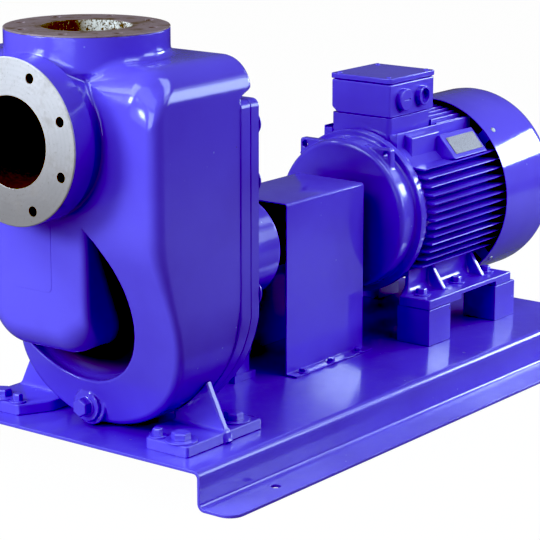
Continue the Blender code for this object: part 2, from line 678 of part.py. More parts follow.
def main():
    clear_scene()
    blue = paint("blue_paint", (0.12, 0.09, 0.75), 0.25)
    steel = paint("bare_steel", (0.55, 0.55, 0.56), 0.35, 1.0)
    iron = paint("dark_iron", (0.12, 0.12, 0.13), 0.5, 0.8)
    rubber = paint("coupling_rubber", (0.03, 0.03, 0.03), 0.7)
    plastic = paint("fan_plastic", (0.05, 0.05, 0.05), 0.5)
    build_base(blue)
    build_casing(blue)
    build_drain_plug(blue)
    build_cover(blue)
    build_pump_feet(blue)
    build_bracket(blue)
    build_coupling(steel, iron, rubber)
    build_guard(blue)
    build_shields(blue)
    build_motor_frame(blue)
    build_motor_feet(blue)
    build_pedestals(blue)
    build_terminal_box(blue)
    build_plate(steel)
    build_fan(blue, plastic)
    build_grille(blue)


main()
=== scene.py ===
"""Looks of a self-priming pump set: casing, coupling guard and ribbed motor on a folded base plate.

Metres. X runs along the shaft from the suction flange to the fan, Y goes across, Z = 0 is the floor.
"""
import logging
import math
from dataclasses import dataclass, field
from enum import Enum
from typing import Callable, Iterable, Optional, Sequence, Union

import bmesh
import bpy
import numpy as np
from mathutils import Matrix, Vector


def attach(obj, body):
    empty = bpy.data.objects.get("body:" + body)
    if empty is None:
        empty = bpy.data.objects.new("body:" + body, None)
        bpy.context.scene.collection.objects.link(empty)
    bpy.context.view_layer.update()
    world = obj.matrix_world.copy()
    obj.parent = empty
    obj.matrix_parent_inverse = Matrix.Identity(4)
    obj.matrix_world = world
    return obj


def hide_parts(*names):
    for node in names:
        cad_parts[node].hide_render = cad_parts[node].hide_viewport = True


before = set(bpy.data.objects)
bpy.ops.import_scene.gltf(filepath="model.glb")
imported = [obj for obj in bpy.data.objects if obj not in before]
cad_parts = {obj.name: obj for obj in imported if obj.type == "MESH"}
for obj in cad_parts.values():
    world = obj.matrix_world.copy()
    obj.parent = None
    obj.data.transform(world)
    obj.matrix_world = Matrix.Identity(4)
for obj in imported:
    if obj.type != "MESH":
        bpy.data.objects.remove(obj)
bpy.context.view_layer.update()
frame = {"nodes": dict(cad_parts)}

log = logging.getLogger("pump_set")

Outline = list[tuple[float, float]]
Ring = list[tuple[float, float, float]]
Colour = tuple[float, float, float]
Field = Callable[[np.ndarray], np.ndarray]

SUCTION_X = -0.7325
SUCTION_Z = 0.612
SHAFT_Z = 0.325
BASE_TOP = 0.070
DISCHARGE_X = SUCTION_X + 0.192
DISCHARGE_Z = 0.787
TOUCH = 0.0003


class Slot(Enum):
    """Names of material slots."""

    PAINT = "blue_paint"
    STEEL = "bare_steel"
    IRON = "dark_iron"
    RUBBER = "coupling_rubber"
    PLASTIC = "fan_plastic"
    PLATE = "plate_metal"


class Axis(Enum):
    """The axis that a prism or a turned shape lies along."""

    X = 0
    Y = 1
    Z = 2


# Shader maths

class Link:
    """One socket of a material's nodes, with arithmetic on it."""

    def __init__(self, graph: "Graph", socket: bpy.types.NodeSocket) -> None:
        """Wraps a socket.

        Args:
            graph: The material that the socket is in.
            socket: An output socket of one of its nodes.
        """
        self.graph = graph
        self.socket = socket

    def _math(self, operation: str, *values: "Value") -> "Link":
        """A Math node on these values."""
        return self.graph.node("ShaderNodeMath", {"operation": operation}, dict(enumerate(values)))

    def __add__(self, other: "Value") -> "Link":
        """Sum."""
        return self._math("ADD", self, other)

    def __radd__(self, other: "Value") -> "Link":
        """Sum with a number on the left."""
        return self._math("ADD", other, self)

    def __sub__(self, other: "Value") -> "Link":
        """Difference."""
        return self._math("SUBTRACT", self, other)

    def __rsub__(self, other: "Value") -> "Link":
        """Difference with a number on the left."""
        return self._math("SUBTRACT", other, self)

    def __mul__(self, other: "Value") -> "Link":
        """Product."""
        return self._math("MULTIPLY", self, other)

    def __rmul__(self, other: "Value") -> "Link":
        """Product with a number on the left."""
        return self._math("MULTIPLY", other, self)

    def __truediv__(self, other: "Value") -> "Link":
        """Quotient."""
        return self._math("DIVIDE", self, other)

    def __pow__(self, other: "Value") -> "Link":
        """Power."""
        return self._math("POWER", self, other)

    def sine(self) -> "Link":
        """Sine of an angle in radians."""
        return self._math("SINE", self)

    def step(self, low: float, high: float) -> "Link":
        """Smooth step from 0 at low to 1 at high; low may be the larger.

        Args:
            low: Where the result is 0.
            high: Where the result is 1.

        Returns:
            The step's value.
        """
        return self.graph.node("ShaderNodeMapRange", {"interpolation_type": "SMOOTHSTEP"},
                               {0: self, 1: low, 2: high, 3: 0.0, 4: 1.0})


Value = Union[Link, float, int, tuple]


class Graph:
    """One material and the nodes that it is built from."""

    def __init__(self, name: str) -> None:
        """Starts a material with a Principled shader.

        Args:
            name: Name of the material.
        """
        self.material = bpy.data.materials.new(name)
        self.material.use_nodes = True
        self.tree = self.material.node_tree
        self.shader = self.tree.nodes["Principled BSDF"]
        self.place = self.node("ShaderNodeTexCoord", out="Object")

    def node(self, kind: str, settings: Optional[dict] = None, values: Optional[dict] = None,
             out: Union[int, str] = 0) -> Link:
        """Adds any node.

        Args:
            kind: The node's type name.
            settings: Its own settings; "stops" holds a ramp's (place, colour) pairs.
            values: Numbers or links for its input sockets, by name or number.
            out: Name or number of the output socket that is used.

        Returns:
            The output socket, wrapped.
        """
        made = self.tree.nodes.new(kind)
        for name, value in (settings or {}).items():
            if name == "stops":
                self._set_stops(made.color_ramp.elements, value)
            else:
                setattr(made, name, value)
        for name, value in (values or {}).items():
            self.feed(made.inputs[name], value)
        return Link(self, made.outputs[out])

    @staticmethod
    def _set_stops(elements: bpy.types.bpy_prop_collection, stops: Sequence[tuple[float, Colour]]) -> None:
        """Sets the stops of a colour ramp."""
        while len(elements) < len(stops):
            elements.new(0.5)
        for element, (place, colour) in zip(elements, stops):
            element.position = place
            element.color = (*colour, 1.0)

    def feed(self, socket: bpy.types.NodeSocket, value: Value) -> None:
        """Links or sets one input socket.

        Args:
            socket: The input socket.
            value: A link, a number, a vector or a colour.
        """
        if isinstance(value, Link):
            self.tree.links.new(value.socket, socket)
        elif socket.type == "RGBA":
            socket.default_value = (*value[:3], 1.0)
        else:
            socket.default_value = value

    def noise(self, scale: float, detail: float = 2.0, rough: float = 0.5, stretch: Colour = (1, 1, 1)) -> Link:
        """Noise from 0 to 1 over the object.

        Args:
            scale: Lumps a metre.
            detail: Octaves.
            rough: Share of the finer octaves.
            stretch: Factors on X, Y and Z, below 1 for longer grain.

        Returns:
            The noise value.
        """
        place = self.place
        if stretch != (1, 1, 1):
            place = self.node("ShaderNodeVectorMath", {"operation": "MULTIPLY"}, {0: place, 1: stretch})
        return self.node("ShaderNodeTexNoise", {}, {"Vector": place, "Scale": scale, "Detail": detail,
                                                    "Roughness": rough})

    def cells(self, scale: float, wanted: str = "Distance") -> Link:
        """Distance to, or colour of, the nearest of many scattered points."""
        return self.node("ShaderNodeTexVoronoi", {}, {"Vector": self.place, "Scale": scale}, out=wanted)

    def axis(self, name: str) -> Link:
        """One coordinate of the object's own place, in metres."""
        parts = self.node("ShaderNodeSeparateXYZ", {}, {0: self.place}, out=name)
        return parts

    def facing(self, name: str) -> Link:
        """One component of the surface's direction."""
        normal = self.node("ShaderNodeNewGeometry", out="Normal")
        return self.node("ShaderNodeSeparateXYZ", {}, {0: normal}, out=name)

    def blend(self, below: Value, above: Value, share: Value) -> Link:
        """Mixes two colours.

        Args:
            below: Colour at share 0.
            above: Colour at share 1.
            share: How much of the second shows.

        Returns:
            The mixed colour.
        """
        return self.node("ShaderNodeMix", {"data_type": "RGBA", "clamp_factor": True},
                         {0: share, 6: below, 7: above}, out=2)

    def finish(self, colour: Value, roughness: Value, metallic: Value = 0.0,
               height: Optional[Value] = None, **fixed: float) -> bpy.types.Material:
        """Feeds the shader.

        Args:
            colour: Base colour.
            roughness: Roughness.
            metallic: Metallic share.
            height: Relief in metres.
            fixed: Constants for other sockets, with _ for the spaces in their names.

        Returns:
            The finished material.
        """
        self.feed(self.shader.inputs["Base Color"], colour)
        self.feed(self.shader.inputs["Roughness"], roughness)
        self.feed(self.shader.inputs["Metallic"], metallic)
        if height is not None:
            bump = self.node("ShaderNodeBump", {}, {"Height": height, "Strength": 1.0, "Distance": 1.0}, out="Normal")
            self.feed(self.shader.inputs["Normal"], bump)
        for name, value in fixed.items():
            self.shader.inputs[name.replace("_", " ")].default_value = value
        return self.material


# Finishes

@dataclass(frozen=True)
class Enamel:
    """Gloss blue-violet enamel over a casting or a sheet."""

    name: str
    colour: Colour = (0.142, 0.112, 0.76)
    shade: Colour = (0.100, 0.072, 0.56)
    casting: float = 0.0
    peel: float = 0.000012
    gloss: float = 0.13
    dust: float = 0.12
    # When set, painted shade darkens the inside of the casing's recess.
    recess: bool = False

    def make(self) -> bpy.types.Material:
        """Builds the material.

        Returns:
            The enamel, with orange peel, casting texture, nibs, chips and dust; when recess is set, also painted shade
            inside the casing's recess.
        """
        graph = Graph(self.name)
        colour = graph.blend(self.colour, self.shade, graph.noise(5.0, 3.0).step(0.35, 0.75) * 0.5)
        nib = graph.cells(38.0).step(0.085, 0.05) * graph.noise(9.0, 1.0).step(0.56, 0.62)
        chip_edge = graph.cells(21.0) + graph.noise(260.0, 3.0) * 0.12
        chip = chip_edge.step(0.13, 0.115) * graph.noise(4.3, 2.0).step(0.66, 0.70)
        colour = graph.blend(colour, (0.30, 0.30, 0.85), nib * 0.7)
        colour = graph.blend(colour, (0.045, 0.028, 0.03), chip)
        behind: Value = 0.0
        # Painted shade: darker colour, rougher surface and less coat inside the recess behind the sloping front, where
        # shade falls.
        if self.recess:
            reach = (graph.axis("Y") ** 2.0 + (graph.axis("Z") - SHAFT_Z) ** 2.0) ** 0.5
            front = SUCTION_X + 0.090 + (SUCTION_Z - 0.170 - graph.axis("Z")) * 0.35
            behind = (graph.axis("X") - front).step(0.0, 0.032) * reach.step(0.1665, 0.158)
            colour = graph.blend(colour, (0.026, 0.016, 0.08), behind * 0.90)
        up = graph.facing("Z").step(0.75, 1.0)
        dust = up * graph.noise(28.0, 4.0, 0.6).step(0.45, 0.85) * self.dust
        colour = graph.blend(colour, (0.26, 0.25, 0.62), dust)
        rough = self.gloss + graph.noise(14.0, 3.0) * 0.07 + dust * 0.25 + chip * 0.5
        if self.recess:
            rough = rough + behind * 0.6
        height = graph.noise(330.0, 1.0) * self.peel + graph.noise(60.0, 1.0) * (self.peel * 6.0)
        height = height + nib * 0.0002 - chip * 0.00015
        if self.casting:
            height = height + graph.noise(150.0, 3.0, 0.55) * self.casting + graph.noise(34.0, 2.0) * (self.casting * 3.0)
        graph.feed(graph.shader.inputs["Coat Weight"], 0.35 - behind * 0.35 if self.recess else 0.35)
        return graph.finish(colour, rough, height=height, Coat_Roughness=0.05)


@dataclass(frozen=True)
class TurnedFace:
    """A flange face as it left the lathe: fine rings, stained and lightly rusted."""

    name: str
    axis: Axis
    centre: tuple[float, float]
    colour: Colour = (0.80, 0.70, 0.72)
    stain: Colour = (0.20, 0.15, 0.14)
    staining: float = 0.45
    pitch: float = 0.0011
    metallic: float = 0.55
    roughness: float = 0.36

    def make(self) -> bpy.types.Material:
        """Builds the material."""
        graph = Graph(self.name)
        across = [graph.axis(name) for name in ("YZ" if self.axis is Axis.X else "XY")]
        reach = ((across[0] - self.centre[0]) ** 2.0 + (across[1] - self.centre[1]) ** 2.0) ** 0.5
        rings = (reach * (math.tau / self.pitch)).sine()
        broad = (reach * (math.tau / 0.0087) + graph.noise(6.0) * 2.0).sine()
        patches = graph.noise(24.0, 5.0, 0.62).step(0.46, 0.70)
        near_bore = reach.step(0.112, 0.076)
        stain = patches * self.staining + near_bore * (0.35 * self.staining)
        colour = graph.blend(self.colour, tuple(0.72 * c for c in self.colour), broad.step(-0.2, 1.0) * 0.15)
        # Suction face: painted shade, darker towards the bottom.
        if self.axis is Axis.X:
            colour = graph.blend(colour, (0.20, 0.17, 0.19), (graph.axis("Z") - self.centre[1]).step(0.10, -0.13) * 0.7)
        colour = graph.blend(colour, self.stain, stain)
        spots = graph.noise(210.0, 3.0, 0.6).step(0.60, 0.72)
        colour = graph.blend(colour, (0.10, 0.055, 0.04), spots * (0.15 + self.staining * 0.4))
        rough = self.roughness + stain * 0.3 + rings * 0.03
        height = rings * 0.000012 + broad * 0.00001 + spots * 0.00003
        return graph.finish(colour, rough, self.metallic * (1.0 - stain), height)


@dataclass(frozen=True)
class RustyBore:
    """Bare cast iron inside a bore, brown with rust."""

    name: str
    colour: Colour = (0.050, 0.022, 0.016)
    bright: Colour = (0.40, 0.30, 0.27)
    brightness: float = 0.12
    # Paints light on the bore wall towards the motor.
    lit_side: bool = False

    def make(self) -> bpy.types.Material:
        """Builds the material; the lit side gets painted light: lighter speckled metal on the wall towards the motor.
        """
        graph = Graph(self.name)
        grain = graph.noise(120.0, 5.0, 0.65)
        colour = graph.blend(self.colour, tuple(2.2 * c for c in self.colour), grain.step(0.4, 0.7))
        speckle = graph.noise(300.0, 3.0, 0.6)
        colour = graph.blend(colour, self.bright, speckle.step(0.6, 0.7) * self.brightness)
        if self.lit_side:
            # Painted light: a lighter speckled patch on the bore wall towards the motor, where light falls into the
            # bore.
            side = (graph.axis("X") - DISCHARGE_X).step(0.040, 0.066) * graph.noise(55.0, 3.0, 0.6).step(0.36, 0.50)
            colour = graph.blend(colour, self.bright, side * speckle.step(0.38, 0.52))
        height = grain * 0.0008 + graph.noise(40.0, 2.0) * 0.001
        return graph.finish(colour, 0.75 - grain * 0.2, height=height)


@dataclass(frozen=True)
class BareMetal:
    """Plain metal with a fine grain: fasteners, shafts, the rating plate."""

    name: str
    colour: Colour = (0.52, 0.53, 0.56)
    roughness: float = 0.35
    metallic: float = 1.0
    grain: float = 400.0
    mottle: float = 0.3
    relief: float = 0.00002

    def make(self) -> bpy.types.Material:
        """Builds the material."""
        graph = Graph(self.name)
        grain = graph.noise(self.grain, 3.0, 0.6)
        patch = graph.noise(self.grain * 0.1, 4.0)
        dark = tuple(0.35 * c for c in self.colour)
        colour = graph.blend(self.colour, dark, grain.step(0.45, 0.75) * self.mottle + patch.step(0.5, 0.8) * 0.2)
        return graph.finish(colour, self.roughness + patch * 0.15, self.metallic, grain * self.relief)


@dataclass(frozen=True)
class Matt:
    """Rubber or moulded plastic."""

    name: str
    colour: Colour = (0.02, 0.02, 0.022)
    roughness: float = 0.6

    def make(self) -> bpy.types.Material:
        """Builds the material."""
        graph = Graph(self.name)
        grain = graph.noise(500.0, 3.0, 0.6)
        wear = graph.noise(12.0, 3.0)
        colour = graph.blend(self.colour, tuple(2.5 * c for c in self.colour), wear.step(0.4, 0.8) * 0.5)
        return graph.finish(colour, self.roughness + wear * 0.15, height=grain * 0.00004)


class Finishes:
    """Every material of the set, made once."""

    def __init__(self) -> None:
        """Builds them all."""
        suction_centre = (0.0, SUCTION_Z)
        discharge_centre = (DISCHARGE_X, 0.0)
        self.cast = Enamel("enamel_on_casting", casting=0.00007).make()
        # The casing's enamel carries painted shade inside its recess.
        self.casing = Enamel("enamel_on_casing", casting=0.00007, recess=True).make()
        self.sheet = Enamel("enamel_on_sheet", peel=0.000008, gloss=0.06).make()
        self.motor = Enamel("enamel_on_motor", casting=0.00005, gloss=0.15).make()
        self.base = Enamel("enamel_on_base", peel=0.00002, gloss=0.20).make()
        self.suction_face = TurnedFace("turned_suction_face", Axis.X, suction_centre).make()
        self.discharge_face = TurnedFace("turned_discharge_face", Axis.Z, discharge_centre, (0.30, 0.215, 0.26),
                                         (0.085, 0.055, 0.05), 0.8, metallic=0.3, roughness=0.5).make()
        self.bore = RustyBore("rusty_bore").make()
        # The discharge bore: rust with painted light on the wall towards the motor.
        self.bright_bore = RustyBore("rusty_bore_above", (0.06, 0.026, 0.016), (0.85, 0.78, 0.74), 0.5, True).make()
        # Near black painted shade for the walls of the blind holes.
        self.hole_shade = RustyBore("dark_hole", (0.012, 0.010, 0.010), (0.10, 0.09, 0.09), 0.2).make()
        self.steel = BareMetal("bare_steel_turned").make()
        self.iron = BareMetal("oiled_iron", (0.10, 0.10, 0.11), 0.5, 0.8, 150.0).make()
        self.plate = BareMetal("plate_metal_bare", (0.42, 0.39, 0.45), 0.6, 0.25, 700.0, 0.8, 0.00006).make()
        self.rubber = Matt("rubber_of_coupling").make()
        self.plastic = Matt("plastic_of_fan", (0.03, 0.03, 0.035), 0.45).make()


# Shapes

def arc(centre: tuple[float, float], radius: float, first: float, last: float, count: int) -> Outline:
    """Points of an arc, both ends included.

    Args:
        centre: Centre of the arc.
        radius: Its radius.
        first: First angle in degrees.
        last: Last angle in degrees.
        count: Number of steps.

    Returns:
        The points in order.
    """
    angles = [math.radians(first + (last - first) * i / count) for i in range(count + 1)]
    return [(centre[0] + radius * math.cos(a), centre[1] + radius * math.sin(a)) for a in angles]


def rounded(corners: Sequence[tuple[float, float]], radius: Union[float, Sequence[float]], count: int = 4) -> Outline:
    """An outline with its corners rounded.

    Args:
        corners: The corners in order.
        radius: One radius, or one for each corner.
        count: Steps in each rounding.

    Returns:
        The rounded outline.
    """
    radii = [radius] * len(corners) if isinstance(radius, (int, float)) else list(radius)
    points: Outline = []
    for i, corner in enumerate(corners):
        here = Vector(corner)
        back = (Vector(corners[i - 1]) - here).normalized()
        ahead = (Vector(corners[(i + 1) % len(corners)]) - here).normalized()
        half = math.acos(max(-1.0, min(1.0, back.dot(ahead)))) / 2
        if radii[i] <= 0.0 or half > 1.55:
            points.append(tuple(here))
            continue
        run = radii[i] / math.tan(half)
        start, end = here + back * run, here + ahead * run
        middle = here + (back + ahead).normalized() * (radii[i] / math.sin(half))
        for k in range(count + 1):
            ray = (start - middle).lerp(end - middle, k / count)
            points.append(tuple(middle + ray.normalized() * radii[i]))
    return points


def hexagon(size: float) -> Outline:
    """A hexagon of that width across flats."""
    reach = size / math.sqrt(3.0)
    return [(reach * math.cos(math.tau * i / 6), reach * math.sin(math.tau * i / 6)) for i in range(6)]


class Shell:
    """Closed bodies that are collected in one mesh."""

    def __init__(self) -> None:
        """Starts empty."""
        self.mesh = bmesh.new()

    def loft(self, rings: Sequence[Ring], around: bool = False, place: Optional[Matrix] = None) -> "Shell":
        """Adds a body through rings of equal length.

        Args:
            rings: The rings in order.
            around: Whether the last ring joins the first; otherwise both ends are capped.
            place: Where the body goes.

        Returns:
            This shell.
        """
        move = place or Matrix.Identity(4)
        rows = [[self.mesh.verts.new(move @ Vector(point)) for point in ring] for ring in rings]
        count = len(rows[0])
        pairs = list(zip(rows, rows[1:])) + ([(rows[-1], rows[0])] if around else [])
        for low, high in pairs:
            for i in range(count):
                j = (i + 1) % count
                self.mesh.faces.new((low[i], low[j], high[j], high[i]))
        if not around:
            self.mesh.faces.new(rows[0])
            self.mesh.faces.new(list(reversed(rows[-1])))
        return self

    @staticmethod
    def _on(axis: Axis, along: float, a: float, b: float) -> tuple[float, float, float]:
        """A point from its place along an axis and its two other coordinates."""
        return {Axis.X: (along, a, b), Axis.Y: (a, along, b), Axis.Z: (a, b, along)}[axis]

    def prism(self, outline: Outline, axis: Axis, low: float, high: float, place: Optional[Matrix] = None) -> "Shell":
        """Adds an outline extruded along an axis.

        Args:
            outline: The two other coordinates, in X, Y, Z order.
            axis: Axis of the extrusion.
            low: Where it starts.
            high: Where it ends.
            place: Where the body goes.

        Returns:
            This shell.
        """
        return self.loft([[self._on(axis, at, a, b) for a, b in outline] for at in (low, high)], place=place)

    def block(self, x: tuple[float, float], y: tuple[float, float], z: tuple[float, float],
              place: Optional[Matrix] = None) -> "Shell":
        """Adds a block, for cutting or for a bevelled piece."""
        outline = [(y[0], z[0]), (y[1], z[0]), (y[1], z[1]), (y[0], z[1])]
        return self.prism(outline, Axis.X, x[0], x[1], place)

    def turned(self, profile: Outline, axis: Axis = Axis.X, centre: tuple[float, float] = (0.0, SHAFT_Z),
               count: int = 96, around: bool = False, place: Optional[Matrix] = None) -> "Shell":
        """Adds a turned body.

        Args:
            profile: (place along the axis, radius) pairs.
            axis: Axis of the body.
            centre: The two other coordinates of the axis.
            count: Steps around.
            around: Whether the profile is a closed loop that leaves a bore.
            place: Where the body goes.

        Returns:
            This shell.
        """
        turns = [(math.cos(math.tau * i / count), math.sin(math.tau * i / count)) for i in range(count)]
        rings = [[self._on(axis, at, centre[0] + r * c, centre[1] + r * s) for c, s in turns] for at, r in profile]
        return self.loft(rings, around, place)

    def bolt(self, place: Matrix, size: float, height: float, washer: float = 0.0, shank: float = 0.0) -> "Shell":
        """Adds a hexagon head with its chamfer, washer and the end of its thread.

        Args:
            place: Where it sits, with +Z out of the surface.
            size: Width across flats.
            height: Height of the head.
            washer: Thickness of the washer, or 0 for none.
            shank: How far a thread stands out of the head.

        Returns:
            This shell.
        """
        if washer:
            self.turned([(0.0, size * 0.98), (washer * 0.7, size * 0.98), (washer, size * 0.94)], Axis.Z, (0, 0), 32, place=place)
        corners = hexagon(size)
        rings = [[(a, b, washer) for a, b in corners], [(a, b, washer + height * 0.82) for a, b in corners],
                 [(a * 0.86, b * 0.86, washer + height) for a, b in corners]]
        self.loft(rings, place=place)
        if shank:
            top = washer + height
            self.turned([(top - 0.001, size * 0.30), (top + shank * 0.8, size * 0.30), (top + shank, size * 0.25)],
                        Axis.Z, (0, 0), 24, place=place)
        return self


def bake(piece: bpy.types.Object) -> None:
    """Applies the modifiers of a piece."""
    grown = bpy.data.meshes.new_from_object(piece.evaluated_get(bpy.context.evaluated_depsgraph_get()))
    piece.modifiers.clear()
    piece.data = grown


def raw_object(name: str, shell: Shell) -> bpy.types.Object:
    """Turns a shell into an object, faces outward."""
    bmesh.ops.recalc_face_normals(shell.mesh, faces=shell.mesh.faces)
    mesh = bpy.data.meshes.new(name)
    shell.mesh.to_mesh(mesh)
    shell.mesh.free()
    thing = bpy.data.objects.new(name, mesh)
    bpy.context.scene.collection.objects.link(thing)
    return thing


def dress(piece: bpy.types.Object, material: bpy.types.Material, nodes: Iterable[str] = ()) -> bpy.types.Object:
    """Gives a piece its material and its place on the frame.

    Args:
        piece: The object.
        material: Its finish.
        nodes: CAD nodes that it stands for.

    Returns:
        The piece.
    """
    piece.data.materials.clear()
    piece.data.materials.append(material)
    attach(piece, "root")
    names = tuple(nodes)
    if names:
        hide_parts(*names)
    log.info("%s: %d faces", piece.name, len(piece.data.polygons))
    return piece


def make(name: str, shell: Shell, material: bpy.types.Material, nodes: Iterable[str] = (),
         bevel: float = 0.0, cutter: Optional[Shell] = None, smooth: float = 32.0, segments: int = 3) -> bpy.types.Object:
    """Makes a crisp piece from a shell.

    Args:
        name: Name of the piece.
        shell: Its bodies.
        material: Its finish.
        nodes: CAD nodes that it stands for.
        bevel: Width of the rounding of its edges.
        cutter: Bodies that are cut out of it before the rounding.
        smooth: Edges below this angle are shaded smooth.
        segments: Steps of the rounding.

    Returns:
        The piece.
    """
    piece = raw_object(name, shell)
    if cutter:
        tool = raw_object(name + "_cutter", cutter)
        change = piece.modifiers.new("cut", "BOOLEAN")
        change.operation, change.object, change.solver = "DIFFERENCE", tool, "EXACT"
        bake(piece)
        bpy.data.objects.remove(tool, do_unlink=True)
    piece.data.shade_smooth()
    if bevel:
        edge = piece.modifiers.new("edge", "BEVEL")
        edge.width, edge.segments, edge.limit_method = bevel, segments, "ANGLE"
        edge.angle_limit, edge.harden_normals = math.radians(smooth), True
        bake(piece)
    else:
        piece.data.set_sharp_from_angle(angle=math.radians(smooth))
    return dress(piece, material, nodes)


# Cast forms

def either(a: np.ndarray, b: np.ndarray, radius: float) -> np.ndarray:
    """Union of two distance fields with a hollow fillet."""
    corner = np.hypot(np.maximum(radius - a, 0.0), np.maximum(radius - b, 0.0))
    return np.maximum(radius, np.minimum(a, b)) - corner


def both(a: np.ndarray, b: np.ndarray, radius: Union[float, np.ndarray]) -> np.ndarray:
    """Intersection of two distance fields with a rounded edge."""
    corner = np.hypot(np.maximum(radius + a, 0.0), np.maximum(radius + b, 0.0))
    return np.minimum(-radius, np.maximum(a, b)) + corner


def soft_max(a: np.ndarray, b: np.ndarray, width: float) -> np.ndarray:
    """Larger of two values, blended over a small width."""
    share = np.maximum(width - np.abs(a - b), 0.0) / width
    return np.maximum(a, b) + share * share * width * 0.25


def ease(value: np.ndarray, low: float, high: float) -> np.ndarray:
    """Smooth step from 0 at low to 1 at high."""
    share = np.clip((value - low) / (high - low), 0.0, 1.0)
    return share * share * (3.0 - 2.0 * share)


def slab(value: np.ndarray, low: float, high: float) -> np.ndarray:
    """Distance to the space between two planes."""
    return np.abs(value - (low + high) / 2) - (high - low) / 2


@dataclass
class CastForm:
    """A casting given as a distance field, skinned with a fine even mesh."""

    shape: Field
    low: tuple[float, float, float]
    high: tuple[float, float, float]
    step: float = 0.004

    def _sample(self) -> tuple[np.ndarray, np.ndarray]:
        """Samples the field on a grid, in full only near the surface.

        Returns:
            The values and the grid's first corner.
        """
        low = np.array(self.low)
        blocks = np.ceil((np.array(self.high) - low) / (4 * self.step)).astype(int)
        index = np.stack(np.meshgrid(*[np.arange(n) for n in blocks], indexing="ij"), -1).reshape(-1, 3)
        centres = low + (index * 4 + 1.5) * self.step
        rough = self.shape(centres)
        near = np.abs(rough) < 9 * self.step
        local = np.stack(np.meshgrid(*[np.arange(4)] * 3, indexing="ij"), -1).reshape(-1, 3)
        values = np.sign(rough)[:, None] * np.ones(64)
        points = low + (index[near][:, None, :] * 4 + local[None]) * self.step
        values[near] = self.shape(points.reshape(-1, 3)).reshape(-1, 64)
        grid = values.reshape(*blocks, 4, 4, 4).transpose(0, 3, 1, 4, 2, 5).reshape(*(blocks * 4))
        return grid, low

    def _gradient(self, points: np.ndarray) -> np.ndarray:
        """Slope of the field at points."""
        reach = self.step * 0.08
        slope = np.empty_like(points)
        for axis in range(3):
            shift = np.zeros(3)
            shift[axis] = reach
            slope[:, axis] = self.shape(points + shift) - self.shape(points - shift)
        return slope / (2 * reach)

    def skin(self) -> tuple[np.ndarray, np.ndarray, np.ndarray]:
        """Finds the surface.

        Returns:
            Points, four-sided faces and the direction of the surface at each point.
        """
        grid, low = self._sample()
        inside = grid < 0
        cells = tuple(n - 1 for n in grid.shape)
        shifts = [np.array((i, j, k)) for i in (0, 1) for j in (0, 1) for k in (0, 1)]

        def part(array: np.ndarray, shift: np.ndarray) -> np.ndarray:
            """The grid as seen from one corner of every cell."""
            return array[tuple(slice(s, s + n) for s, n in zip(shift, cells))]

        total = sum(part(inside, s).astype(np.int8) for s in shifts)
        mixed = (total > 0) & (total < 8)
        where = np.argwhere(mixed)
        number = np.full(cells, -1, dtype=np.int64)
        number[mixed] = np.arange(len(where))
        gathered = np.zeros((len(where), 3))
        crossings = np.zeros(len(where))
        for axis in range(3):
            along = np.eye(3, dtype=int)[axis]
            for shift in (s for s in shifts if s[axis] == 0):
                a = grid[tuple((where + shift).T)]
                b = grid[tuple((where + shift + along).T)]
                hit = (a < 0) != (b < 0)
                share = np.where(hit, a / np.where(hit, a - b, 1.0), 0.0)
                gathered[hit] += (where + shift + along * share[:, None])[hit]
                crossings[hit] += 1
        points = low + gathered / crossings[:, None] * self.step
        faces = []
        for axis in range(3):
            along = np.eye(3, dtype=int)[axis]
            u, v = (np.eye(3, dtype=int)[(axis + k) % 3] for k in (1, 2))
            start = inside[tuple(slice(0, n - s) for n, s in zip(grid.shape, along))]
            end = inside[tuple(slice(s, None) for s in along)]
            edges = np.argwhere(start != end)
            edges = edges[(edges[:, (axis + 1) % 3] > 0) & (edges[:, (axis + 2) % 3] > 0)]
            edges = edges[(edges < np.array(cells)).all(axis=1)]
            quad = np.stack([number[tuple((edges - s).T)] for s in (u + v, v, 0 * u, u)], -1)
            flip = end[tuple(edges.T)]
            quad[flip] = quad[flip][:, ::-1]
            faces.append(quad[(quad >= 0).all(axis=1)])
        for _ in range(3):
            slope = self._gradient(points)
            size = np.maximum((slope ** 2).sum(1), 0.05)
            move = -slope * (self.shape(points) / size)[:, None]
            length = np.maximum(np.linalg.norm(move, axis=1), 1e-12)
            points += move * np.minimum(1.0, 0.5 * self.step / length)[:, None]
        normals = self._gradient(points)
        normals /= np.maximum(np.linalg.norm(normals, axis=1), 1e-9)[:, None]
        return points, np.concatenate(faces), normals

    def build(self, name: str, material: bpy.types.Material, nodes: Iterable[str] = (),
              slot: Slot = Slot.PAINT) -> bpy.types.Object:
        """Makes the piece.

        Args:
            name: Name of the piece.
            material: Its finish.
            nodes: CAD nodes that it stands for.
            slot: Not used.

        Returns:
            The piece.
        """
        points, faces, normals = self.skin()
        mesh = bpy.data.meshes.new(name)
        mesh.vertices.add(len(points))
        mesh.vertices.foreach_set("co", points.astype(np.float32).ravel())
        mesh.loops.add(faces.size)
        mesh.loops.foreach_set("vertex_index", faces.astype(np.int32).ravel())
        mesh.polygons.add(len(faces))
        mesh.polygons.foreach_set("loop_start", np.arange(0, faces.size, 4, dtype=np.int32))
        mesh.update(calc_edges=True)
        mesh.shade_smooth()
        mesh.normals_split_custom_set_from_vertices([tuple(n) for n in normals])
        piece = bpy.data.objects.new(name, mesh)
        bpy.context.scene.collection.objects.link(piece)
        return dress(piece, material, nodes)


# The set's sub-assemblies

